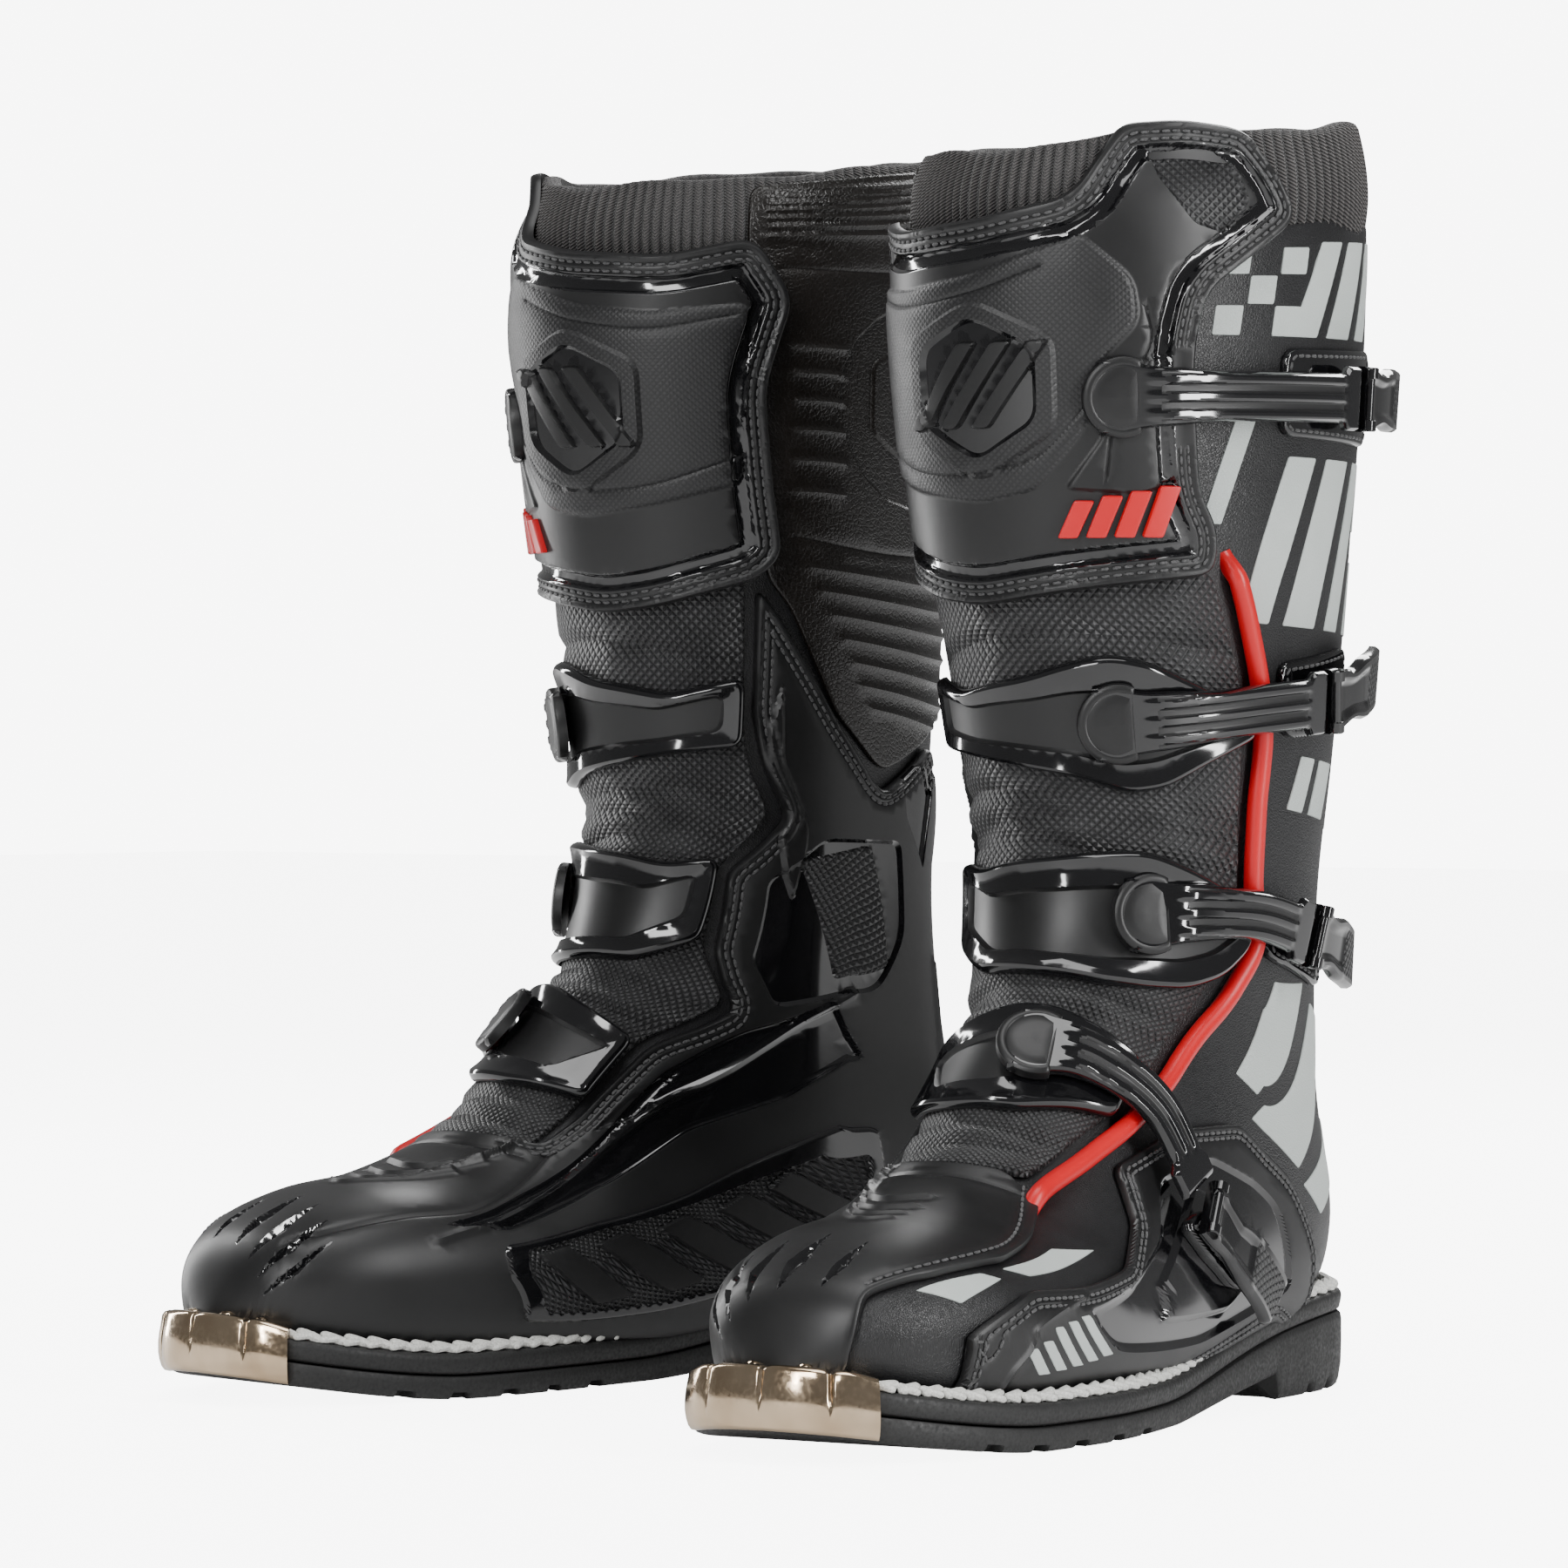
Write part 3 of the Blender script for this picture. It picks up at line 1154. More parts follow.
# ---------------------------------------------------------------- panels of the upper
SHIN_OUTLINE = [(1.95, -46), (2.5, -56), (3.12, -48.5), (3.67, -50), (4.06, -52.5), (4.2, -45), (4.36, -17),
                (4.4, 0), (4.31, 30), (4.22, 64), (3.98, 65.5), (3.77, 60.5), (3.03, 58.5), (2.65, 61.5),
                (2.45, 71), (2.13, 85), (1.6, 81), (1.0, 74.5), (0.8, 57), (0.8, 41), (1.22, 35.5),
                (1.83, 29), (2.02, 4.5), (2.1, -22)]
SHIN_TOP = 8.4
# the glossy channel inside the guard's stitched border: distances from the edge
CHANNEL = 6.9, 12.4


def shin_pull(tp):
    """How far the guard's wing lies closer to the leg at its top."""
    return 4.6 * smoothstep(tp[:, 0], 2.15, 1.3)


def shin_mesh():
    def clear_of_strap(tp):
        return (np.abs(tp[:, 0] - 3.28) > 0.27) | (tp[:, 1] < 40)

    rows = edge_rows(SHIN_OUTLINE, 7, (3.4, 5.6), keep=clear_of_strap)
    low, high = CHANNEL
    slope = 1.5
    steps = (low, low + slope / 2, low + slope, high - slope, high - slope / 2, high)
    channel = [Trench(row, 0.5, 0.0) for row in edge_rows(SHIN_OUTLINE, 7, steps)]
    shield = Area([(2.52, -44), (2.58, -18), (2.5, 2), (2.28, 24), (2.2, 32), (2.55, 44), (2.85, 45.5),
                   (3.1, 36), (3.45, 33), (3.78, 20), (3.84, 4), (3.78, -18), (3.66, -42), (3.0, -44.5)],
                  0.9, 1.3, 5, crown=0.8)
    wedge = Area([(1.24, 48), (1.22, 64), (1.5, 69.5), (1.95, 72), (2.25, 66), (2.15, 58), (1.65, 50)],
                 -1.0, 0.8, 2)
    flank = Area([(3.1, 40), (3.05, 53), (3.72, 54.5), (3.8, 46), (3.78, 26), (3.5, 36)], 0.9, 1.2, 3)
    crest_o = Area(hexagon(3.2, 5, 0.54, 22), 1.3, 1.2, 6)
    crest_i = Area(hexagon(3.2, 5, 0.42, 17), -1.6, 1.2, 5)
    bars = [Area(slanted(3.2, c, 0.25, 2.8, 8), 1.7, 0.6, 1.5) for c in (-4, 5, 14)]
    ribs = [Line([(2.62, -40), (2.7, -18), (2.62, 4), (2.45, 22)], 1.0, -0.7),
            Line([(3.5, -42), (3.66, -18), (3.68, 2), (3.6, 20), (3.35, 32)], 1.0, -0.6),
            Line([(2.75, 47), (3.0, 48), (3.35, 40), (3.7, 37)], 0.9, -0.8)]
    relief = [*channel, shield, wedge, flank, crest_o, crest_i, *bars, *ribs]
    relief += [Trench(row, 0.9, -0.5) for row in rows]

    def zone(tp, uv, p, d):
        kind = np.zeros(len(tp), int)
        for item, k in ((shield, 1), (wedge, 3), (crest_i, 2)):
            kind[item.signed(uv, p) > 0.02] = k
        kind[(d > low) & (d < high) & (kind < 3)] = 2
        for bar in bars:
            kind[bar.signed(uv, p) > 0.02] = 0
        kind[d < 1.5] = 0
        return kind

    def roll(tp, d):
        sunk = smoothstep(d, low, low + slope) - smoothstep(d, high - slope, high)
        return 0.9 * np.exp(-(((d - 1.6) / 1.3) ** 2)) - shin_pull(tp) - 1.8 * sunk

    mesh = panel(SHIN_OUTLINE, lambda tp: 5.4 - shin_pull(tp), SHIN_TOP - 0.6, edge=2.0, radius=7,
                 grid=2.6, relief=relief, zone=zone, shape=roll)
    return mesh, rows


def hexagon(t, phi, dt, dphi):
    turns = [(-1, 0), (-0.5, 0.95), (0.5, 0.95), (1, 0), (0.5, -0.95), (-0.5, -0.95)]
    return [(t + a * dt, phi + b * dphi) for a, b in turns]


def slanted(t, phi, dt, half, lean):
    """A leaning bar: corners around (t, phi), leaning towards larger angles at its top."""
    return [(t - dt, phi + lean - half), (t - dt, phi + lean + half), (t + dt, phi - lean + half),
            (t + dt, phi - lean - half)]


def badge_mesh():
    """Three raised leaning bars in red, a plain mark on the guard's lower outer corner."""
    made = Mesh()
    for k, phi in enumerate((29, 36, 43, 50)):
        grow = 0.012 * k
        made.add(panel(slanted(3.93 - 0.015 * k, phi, 0.1 + grow, 2.5, 2.4), SHIN_TOP - 1.2,
                       SHIN_TOP + 1.4, 0.5, radius=0.7, grid=2, step=0.6))
    return made


BAND_OUTLINES = {
    2: [(4.76, -42), (4.88, -18), (4.79, 9), (4.71, 22), (4.66, 34), (4.7, 46), (4.84, 62), (4.97, 76),
        (5.1, 76), (5.3, 60), (5.5, 46), (5.56, 34), (5.46, 20), (5.4, 4), (5.3, -20), (5.22, -42)],
    3: [(6.08, -38), (6.2, -20), (6.1, 9), (6.02, 26), (5.97, 40), (6.05, 54), (6.14, 66), (6.28, 76),
        (6.5, 76), (6.82, 66), (7.06, 54), (7.22, 40), (7.34, 26), (7.38, 8), (7.3, -18), (6.86, -38)],
    4: [(8.26, -34), (8.06, -16), (7.84, 2), (7.82, 14), (7.95, 30), (8.12, 42), (8.96, 42), (9.06, 30),
        (9.26, 14), (9.3, -8), (9.22, -34)],
}


def band_mesh(number):
    """An instep band: matt in the middle, glossy rolled rails above and below."""
    outline = BAND_OUTLINES[number]
    half = len(outline) // 2
    top, bottom = outline[:half], outline[half:][::-1]
    centre = [((a[0] + b[0]) / 2, (a[1] + b[1]) / 2) for a, b in zip(top, bottom)]
    rise = 0.55 if number != 4 else 0.5

    def between(share):
        return [(c[0] + (e[0] - c[0]) * share, c[1] + (e[1] - c[1]) * share) for c, e in zip(centre, top)] + \
               [(c[0] + (e[0] - c[0]) * share, c[1] + (e[1] - c[1]) * share) for c, e in
                zip(centre[::-1], bottom[::-1])]

    field = Area(pull_in(between(rise), 0.90), -1.5, 0.9, 4)

    def zone(tp, uv, p, d):
        kind = np.ones(len(tp), int)
        kind[field.signed(uv, p) > 0.02] = 0
        return kind

    def roll(tp, d):
        return 0.8 * np.exp(-(((d - 2.2) / 1.6) ** 2))

    return panel(outline, 4.6, 7.2, edge=1.8, radius=5, grid=2.6, relief=[field], zone=zone, shape=roll)


def pull_in(points, share):
    mean = np.array(points).mean(0)
    return [(t, mean[1] + (phi - mean[1]) * share) for t, phi in points]


BELLOWS = [(4.2, -43), (4.7, -42.5), (5.0, -42), (5.4, -46), (5.7, -54), (5.95, -46), (6.2, -38), (6.9, -40),
           (7.4, -52), (7.8, -44), (8.24, -35), (9.36, -33), (9.95, -31), (9.98, 4), (9.95, 28), (9.36, 35),
           (8.67, 43.5), (8.0, 48), (7.4, 54.5), (6.9, 64), (6.6, 72), (6.43, 75), (6.1, 73), (5.6, 73),
           (5.0, 75), (4.7, 73), (4.2, 66)]
FOLDS = [4.62, 5.62, 5.82, 6.0, 7.5, 7.72, 7.95, 9.45, 9.72]


def bellows_mesh():
    """The padded textile over the instep: soft folds squeezed between the bands."""
    folds = []
    for k, t in enumerate(FOLDS):
        sway = 0.05 * (-1) ** k
        folds.append(Line([(t + 0.03, -60), (t + sway, -30), (t - 0.04, 0), (t - sway, 30),
                           (t + 0.02, 80)], 4.2,
                          -1.7))

    def puff(tp, d):
        wrinkle = 0.35 * np.sin(tp[:, 1] * 0.21 + tp[:, 0] * 5.0) * np.sin(tp[:, 0] * 9.0)
        return 1.5 * (1 - np.exp(-d / 7.0)) - 0.9 + wrinkle * smoothstep(d, 1, 7)

    return panel(BELLOWS, 0.8, 3.6, edge=1.6, radius=5, grid=2.4, relief=folds, shape=puff)


MEDIAL = [(4.25, -46.5), (5.0, -45.5), (5.35, -50), (5.7, -60), (5.95, -52), (6.2, -42), (6.9, -44),
          (7.2, -50), (7.42, -56), (7.8, -48), (8.24, -38.5), (9.36, -36), (9.85, -34), (9.95, -10),
          (9.98, 4), (9.98, 20), (10.25, 37), (10.9, 45), (11.75, 51.5), (12.67, 47.5), (13.6, 42),
          (13.95, 62), (14.2, 95)]
MEDIAL_BACK = [(8.9, -176), (7.5, -171), (6.6, -163), (5.9, -154), (5.35, -132), (5.06, -118.5),
               (5.42, -93.5), (5.0, -74.5), (4.37, -52)]


def shell_outline():
    return MEDIAL + sole_line(14.3, 14.88, 1, 5) + sole_line(14.88, 9.0, -1, 30) + MEDIAL_BACK


def claw(t, phi, t_end, phi_end, half):
    """A pointed cut between two points."""
    t_mid, phi_mid = t + (t_end - t) * 0.55, phi + (phi_end - phi) * 0.55
    return Area([(t, phi), (t_mid, phi_mid + half), (t_end, phi_end), (t_mid, phi_mid - half)], -1.7, 1.0,
                0.8)


def medial_mesh():
    outline = shell_outline()
    ring_rows = edge_rows(outline, 5, (2.8, 5.0), keep=lambda tp: (tp[:, 0] < 10.0) & (tp[:, 1] > -125) & (
        tp[:, 1] < 45))
    toe_row = smooth_path([(10.2, 30), (10.9, 39), (11.7, 45), (12.6, 41.5), (13.4, 36)], 1.3)
    swoosh = Line([(11.9, -66), (11.2, -61), (10.4, -55), (9.6, -50), (8.9, -51), (8.1, -60), (7.3, -74),
                   (6.85, -90)], 2.2, 1.6)
    ridge = Line([(9.9, -39), (10.6, -46), (11.3, -50), (12.0, -47), (12.8, -44), (13.5, -38)], 1.6, -0.9)
    wedge = Area([(4.75, -55), (5.3, -57), (5.75, -68), (6.35, -66), (6.1, -60), (5.6, -53),
                  (5.1, -49.5)], 1.5,
                 1.6, 4)
    facet = Area([(6.2, -56), (5.8, -74), (5.7, -104), (6.3, -108), (6.75, -96), (7.25, -66), (6.9, -56)],
                 -1.3, 1.3, 4)
    star = Area([(6.0, -66), (5.78, -92), (6.55, -101), (6.8, -84)], 1.0, 0.8, 2)
    vent = Area([(5.22, -101), (5.17, -126), (5.85, -121), (5.55, -106)], -1.2, 0.8, 2)
    sweep = Area([(11.7, -57), (10.6, -50), (9.4, -46), (8.5, -46), (7.6, -60), (6.95, -84), (7.35, -92),
                  (8.1, -76), (9.0, -62), (10.1, -61), (11.1, -66)], -0.9, 1.4, 3)
    pad = Area([(11.3, -73), (11.6, -103), (10.6, -109), (9.2, -107), (8.75, -105), (7.9, -94), (8.5, -84),
                (9.6, -77), (10.4, -73)], 1.1, 0.9, 4)
    inlay = Area([(11.15, -77), (11.4, -99), (10.5, -104), (9.2, -102), (8.85, -101), (8.2, -94), (8.7, -88),
                  (9.6, -81), (10.4, -77)], -0.9, 0.6, 3)
    bars = [Area([(t, -80 - 2 * k), (t - 0.3, -79 - 2 * k), (t - 0.42, -98 - k), (t - 0.12, -99 - k)],
                 1.5, 0.6, 1)
            for k, t in enumerate((11.1, 10.6, 10.1, 9.6, 9.15))]
    cover = [Line([(9.7 + 0.34 * k, -30 + 2 * k), (10.5 + 0.3 * k, -22 + 3 * k),
                   (10.85 + 0.32 * k, -8 + 2 * k), (10.75 + 0.3 * k, 6)], 1.5,
                  1.3 - 0.1 * k) for k in range(4)]
    claws = [claw(*ends) for ends in ((12.35, -2, 13.9, -6, 4.0), (12.5, -17, 14.05, -30, 4.6),
                                      (12.7, -34, 14.15, -56, 4.6), (12.9, -52, 14.2, -80, 4.0),
                                      (12.5, 12, 13.8, 16, 3.4))]
    brow = Line([(10.1, -34), (10.2, -8), (10.22, 10), (10.3, 30)], 1.2, -0.6)
    heel = Line([(6.4, -132), (7.2, -128), (8.0, -120), (8.6, -112)], 1.8, 1.2)
    blade = Area([(8.35, -50), (8.9, -43), (9.5, -43), (9.1, -49)], -0.9, 0.9, 2)
    relief = [swoosh, sweep, ridge, wedge, facet, star, vent, pad, inlay, *bars, *cover, *claws, brow,
              heel, blade]
    relief += [Trench(row, 0.9, -0.45) for row in ring_rows + [toe_row]]

    def zone(tp, uv, p, d):
        kind = np.zeros(len(tp), int)
        for item, k in ((sweep, 1), (facet, 1), (star, 2), (vent, 1), (pad, 1), (inlay, 2), (wedge, 0)):
            kind[item.signed(uv, p) > 0.02] = k
        for bar in bars:
            kind[bar.signed(uv, p) > 0.02] = 0
        for item in claws:
            kind[item.signed(uv, p) > 0.02] = 1
        return kind

    def roll(tp, d):
        return 0.5 * np.exp(-(((d - 1.3) / 0.9) ** 2)) * (tp[:, 0] < 10.1)

    mesh = panel(outline, 0.8, 3.3, edge=1.5, radius=4, grid=2.8, relief=relief, zone=zone, shape=roll)
    return mesh, ring_rows + [toe_row]


LATERAL = [(9.4, 50), (8.6, 61), (8.1, 78), (8.2, 94.5), (8.6, 112), (9.04, 130), (9.3, 150)]
LATERAL_FRONT = [(12.95, 124), (12.8, 92), (12.35, 80), (11.85, 71), (11.0, 76), (10.45, 77.5), (9.9, 66),
                 (9.6, 56)]


def lateral_mesh():
    outline = LATERAL + sole_line(9.5, 12.9, 1, 16) + LATERAL_FRONT
    rows = edge_rows(outline, 4, (2.6, 4.4), keep=lambda tp: tp[:, 1] < 128)
    basin = Area([(9.3, 63), (8.7, 72), (8.55, 92), (9.2, 112), (10.3, 112), (11.2, 98), (11.3, 86),
                  (10.6, 84), (9.9, 76)], -1.2, 1.6, 5)
    blade = Area([(9.1, 72), (9.0, 96), (9.9, 104), (10.6, 95), (10.0, 84)], 1.6, 1.8, 3)
    rib = Line([(11.2, 80), (11.7, 84), (12.3, 96), (12.5, 110)], 1.5, 0.9)

    def zone(tp, uv, p, d):
        kind = np.zeros(len(tp), int)
        kind[basin.signed(uv, p) > 0.02] = 1
        return kind

    mesh = panel(outline, 0.8, 3.3, edge=1.5, radius=4, grid=2.8,
                 relief=[basin, blade, rib] + [Trench(row, 0.9, -0.45) for row in rows], zone=zone)
    return mesh, rows


CALF = [(1.22, -46), (1.16, -80), (1.14, -120), (1.2, -172), (2.4, -174), (3.6, -174), (4.9, -172),
        (4.9, -128), (5.02, -118), (5.28, -93.5), (4.95, -74), (4.35, -57), (4.2, -50), (3.7, -46),
        (2.6, -46)]


def calf_mesh():
    """The embossed inside of the leg: horizontal ribs above and below a ringed roundel."""
    relief = []
    for k in range(7):
        t = 1.32 + 0.105 * k
        relief.append(Line([(t, -50), (t + 0.02, -90), (t, -130), (t, -168)], 1.7, 0.9))
    for k in range(7):
        t = 4.12 + 0.13 * k
        start, end = -62 - 4.2 * k, -166
        relief.append(Line([(t, start), (t + 0.06, (start + end) / 2), (t, end)], 1.9, 0.9))
    for k in range(6):
        t = 2.85 + 0.17 * k
        relief.append(Line([(t, -58), (t, -66), (t + 0.01, -73)], 1.6, 0.9))
    circle = [(3.15 + 0.62 * math.cos(a), -98 + 27 * math.sin(a)) for a in np.linspace(0, 2 * np.pi, 18)[:-1]]
    disc = Area(circle, -1.0, 1.0, 3)
    ring = Area([(3.15 + 0.42 * math.cos(a), -98 + 18 * math.sin(a))
                 for a in np.linspace(0, 2 * np.pi, 7)[:-1]],
                0.9, 0.8, 3)
    core = Area([(3.15 + 0.24 * math.cos(a), -98 + 10 * math.sin(a))
                 for a in np.linspace(0, 2 * np.pi, 7)[:-1]],
                -0.9, 0.8, 2)
    frame_lines = [Line([(2.25, -56), (2.3, -90), (2.28, -130), (2.25, -166)], 1.0, -0.6),
                   Line([(3.95, -58), (4.02, -90), (4.0, -130), (3.98, -166)], 1.0, -0.6)]
    relief += [disc, ring, core, *frame_lines]
    return panel(CALF, 0.8, 2.2, edge=1.0, radius=4, grid=3.0, relief=relief)


# ---------------------------------------------------------------- closures
DISC_RADIUS = 12.0
CLOSURES = [
    dict(strap=[(3.29, 41), (3.28, 62), (3.27, 84), (3.26, 105)],
         lever=[(3.26, 106.3), (3.25, 122), (3.24, 140)],
         patch=[(3.0, 86), (3.48, 86), (3.5, 128), (2.98, 126)], lift=-1.2, seat=0.0),
    dict(strap=[(5.07, 34), (5.02, 52), (4.92, 76), (4.84, 97)],
         lever=[(4.835, 98.3), (4.74, 116), (4.64, 136)],
         patch=[(4.66, 88), (5.08, 90), (4.96, 124), (4.52, 124)], lift=-0.8, seat=0.0),
    dict(strap=[(6.5, 39.5), (6.36, 58), (6.27, 76), (6.27, 95)],
         lever=[(6.27, 96.4), (6.28, 112), (6.3, 130)],
         patch=[(6.06, 87), (6.5, 87), (6.5, 120), (6.06, 120)], lift=-0.8, seat=0.0),
    dict(strap=[(8.48, 12.5), (8.46, 30), (8.72, 50), (9.3, 70)], lever=[(9.44, 76), (9.53, 90), (9.64, 107)],
         patch=[(9.36, 77), (9.68, 77), (9.78, 97), (9.44, 97)], lift=-0.2, seat=3.3),
]
STRAP_OUT = 9.4


def centred(tp, offset, start):
    """Frames along a path, with a straight run of a disc's radius in front of its start."""
    p, n, ahead, left = frames_on(tp, offset)
    back = np.arange(-start, 0, 0.8)
    lead = p[0] + ahead[0] * back[:, None]
    k = len(back)
    return (np.vstack([lead, p]), np.vstack([np.tile(n[0], (k, 1)), n]),
            np.vstack([np.tile(ahead[0], (k, 1)), ahead]), np.vstack([np.tile(left[0], (k, 1)), left]),
            np.concatenate([back, lengths(p)]))


def strap_mesh(c):
    """A ribbed strap: three glossy ribs with two matt grooves, and lugs where it meets the lever."""
    base = STRAP_OUT + c["lift"]
    tp = smooth_path(c["strap"], 0.8)
    p, n, ahead, left, s = centred(tp, base, 7.0)
    end = s[-1]
    half = 8.6 + 2.6 * np.exp(-(((s + 4) / 9.0) ** 2)) - 1.2 * smoothstep(s, 12, 34)
    half = half + 2.2 * smoothstep(s, end - 9, end - 7)
    u = np.linspace(-1, 1, 41)
    rows_top, rows_low, mats = [], [], []
    for k in range(len(s)):
        w = half[k]
        across = u * w
        rib = 0.5 + 0.5 * np.cos(across * (3 * np.pi / 7.8))
        rib = smoothstep(rib, 0.25, 0.75)
        fade = smoothstep(s[k], 6, 15) * (1 - smoothstep(s[k], end - 12, end - 9))
        clip = smoothstep(s[k], end - 9.5, end - 8)
        h = 2.3 + 0.9 * rib * fade + 0.5 * clip + 0.5 * (1 - fade) * (1 - clip)
        h = h - 1.6 * smoothstep(np.abs(u), 0.88, 1.0) ** 2
        h = h + 0.8 * np.exp(-(((s[k] - 12) / 7.0) ** 2)) - 0.9 * (1 - smoothstep(s[k], -7, -5.4))
        h = h - 1.0 * smoothstep(s[k], end - 1.4, end)
        rows_top.append(p[k] + left[k] * across[:, None] + n[k] * h[:, None])
        rows_low.append(p[k] + left[k] * across[:, None] + n[k] * 0.0)
        groove = (rib < 0.5) & (fade > 0.5) & (np.abs(u) < 0.86)
        mats.append(np.where(groove, 1, 0))
    top, low = np.array(rows_top)[:, ::-1], np.array(rows_low)[:, ::-1]
    uv = np.stack(np.broadcast_arrays(u[None, ::-1] * 8, s[:, None]), -1)
    mesh = grid_solid(top, low, uv=uv, mats=np.array(mats)[:, ::-1])
    return mesh, (p, n, ahead, left, s, half)


def disc_mesh(frames):
    """The half-moon button that the strap turns on: matt, with a soft edge and a shallow ring."""
    p, n, ahead, left, s, _ = frames
    k = int(np.argmin(np.abs(s)))
    centre, up, fwd, side = p[k], n[k], ahead[k], left[k]
    a = np.linspace(0, 2 * np.pi, 64, endpoint=False)
    rows = [(1.0, -0.6), (1.0, 1.6), (0.985, 2.3), (0.94, 2.75), (0.86, 3.0), (0.8, 2.95), (0.77, 2.75),
            (0.74, 2.95), (0.5, 3.25), (0.2, 3.35)]
    loops = []
    for r, h in rows:
        x = np.cos(a) * DISC_RADIUS * r
        cut = np.minimum(x, 5.5 * r)
        loops.append(centre + fwd * cut[:, None] + side * (np.sin(a) * DISC_RADIUS * r)[:, None]
                     + up * (h - 0.05 * np.abs(np.sin(a)) * 2)[:, None])
    return loop_solid(np.array(loops))


def lever_mesh(c):
    """The buckle lever: a waisted glossy frame with a grip pad at its free end."""
    base = 9.0 + c["lift"]
    tp = smooth_path(c["lever"], 0.8)
    p, n, ahead, left = frames_on(tp, base)
    s = lengths(p)
    end = s[-1]
    u = np.linspace(-1, 1, 33)
    rows_top, rows_low, mats = [], [], []
    for k in range(len(s)):
        x = s[k] / end
        w = 9.8 - 2.0 * math.exp(-(((x - 0.3) / 0.14) ** 2)) - 0.4 * x
        w *= math.sqrt(max(0.0, 1 - max(0.0, (x - 0.9) / 0.1) ** 2 * 0.45))
        across = u * w
        rail = smoothstep(np.abs(u), 0.45, 0.7) * (1 - smoothstep(x, 0.5, 0.62))
        grip = smoothstep(x, 0.5, 0.6) * (1 - smoothstep(x, 0.93, 1.0))
        h = 2.9 + 1.0 * rail + 0.8 * grip - 1.5 * smoothstep(np.abs(u), 0.86, 1.0) ** 2
        h = h + 0.5 * np.exp(-(((s[k] - 4) / 2.0) ** 2)) - 1.3 * smoothstep(x, 0.95, 1.0)
        low = 0.3 * smoothstep(np.abs(u), 0.8, 1.0)
        rows_top.append(p[k] + left[k] * across[:, None] + n[k] * h[:, None])
        rows_low.append(p[k] + left[k] * across[:, None] + n[k] * low[:, None])
        mats.append(np.where((grip > 0.5) & (np.abs(u) < 0.72), 1, 0))
    top, low = np.array(rows_top)[:, ::-1], np.array(rows_low)[:, ::-1]
    uv = np.stack(np.broadcast_arrays(u[None, ::-1] * 8, s[:, None]), -1)
    mesh = grid_solid(top, low, uv=uv, mats=np.array(mats)[:, ::-1])
    return mesh, (p, n, ahead, left, s)


def pin_mesh(frames):
    """The hinge pin across the lever's start, with a lug each side."""
    p, n, ahead, left, _ = frames
    centre = p[0] + n[0] * 3.6 + ahead[0] * 2.0
    a = np.linspace(0, 2 * np.pi, 16, endpoint=False)
    rows = [(-9.6, 0.4), (-9.6, 1.9), (-9.2, 2.3), (-6.3, 2.3), (-6.1, 1.3), (6.1, 1.3), (6.3, 2.3),
            (9.2, 2.3), (9.6, 1.9), (9.6, 0.4)]
    loops = [centre + left[0] * y + (ahead[0] * np.cos(a)[:, None] + n[0] * np.sin(a)[:, None]) * r
             for y, r in rows]
    return loop_solid(np.array(loops)[:, ::-1])


PIPING = [(4.1, 71), (4.46, 76), (5.0, 81), (5.56, 79), (6.03, 78.5), (6.43, 81), (6.85, 73), (7.4, 61),
          (8.2, 52), (8.9, 47), (9.4, 42), (9.95, 36.5), (10.3, 35.5), (10.6, 36)]


def piping_mesh():
    """The red cord, with both ends tucked under the guards."""
    tp = smooth_path(PIPING, 1.5)
    s = lengths(last(tp[:, 0], tp[:, 1]))
    sunk = 5.5 * (1 - smoothstep(s, 0, 9)) + 5.5 * smoothstep(s, s[-1] - 13, s[-1] - 3)
    return tube(tp, 3.0, 3.4 - sunk, sides=16)


# ---------------------------------------------------------------- prints
def patch(points, base=0.3, height=0.25):
    return panel(points, base - 0.6, base + height, 0.3, radius=0.4, grid=6, step=0.8)


def leaning(t_top, t_end, phi, width, lean=17.0):
    """Corners of a bar that leans towards larger angles at its top."""
    foot = phi - lean * (t_end - t_top)
    return [(t_top, phi), (t_top, phi + width), (t_end, foot + width), (t_end, foot)]


def print_mesh():
    """Pale geometric print: checks and leaning bars on the leg, wide stripes at heel and toe."""
    made = Mesh()
    for row in range(4):
        for col in range(3):
            if (row + col) % 2 == 0 and not (row == 3 and col > 0):
                t, phi = 2.34 + 0.2 * row, 69 + 8.6 * col - 1.2 * row
                made.add(patch([(t, phi), (t, phi + 7.8), (t + 0.19, phi + 6.8), (t + 0.19, phi - 1.0)]))
    leg = [leaning(2.3, 2.93, 99, 9), leaning(2.3, 2.93, 112, 11), leaning(2.3, 2.93, 128, 8),
           leaning(3.16, 3.95, 77, 6), leaning(3.58, 4.46, 90, 10), leaning(3.58, 4.46, 105, 13),
           leaning(3.58, 4.46, 124, 9), leaning(3.58, 3.92, 138, 16), leaning(4.08, 4.46, 133, 14),
           leaning(5.16, 5.5, 100, 8), leaning(5.16, 5.5, 112, 12)]
    heel = [[(6.62, 93), (6.52, 109), (7.62, 87), (7.56, 78)],
            [(6.6, 117), (6.64, 134), (7.98, 100), (7.9, 85)],
            [(7.24, 135), (7.5, 141), (8.16, 116), (8.08, 103)]]
    toe = [[(10.85, 53), (10.47, 64), (11.55, 62), (11.78, 54)],
           [(12.1, 53), (11.95, 60), (12.62, 69), (12.95, 51)]]
    for corners in leg:
        made.add(patch(corners))
    for corners in heel + toe:
        made.add(patch(corners, base=0.1))
    for k in range(5):
        t = 11.32 + 0.19 * k
        made.add(patch([(t, 88 + k), (t + 0.12, 88 + k), (t + 0.05, 99 + k), (t - 0.07, 99 + k)], base=3.3))
    return made


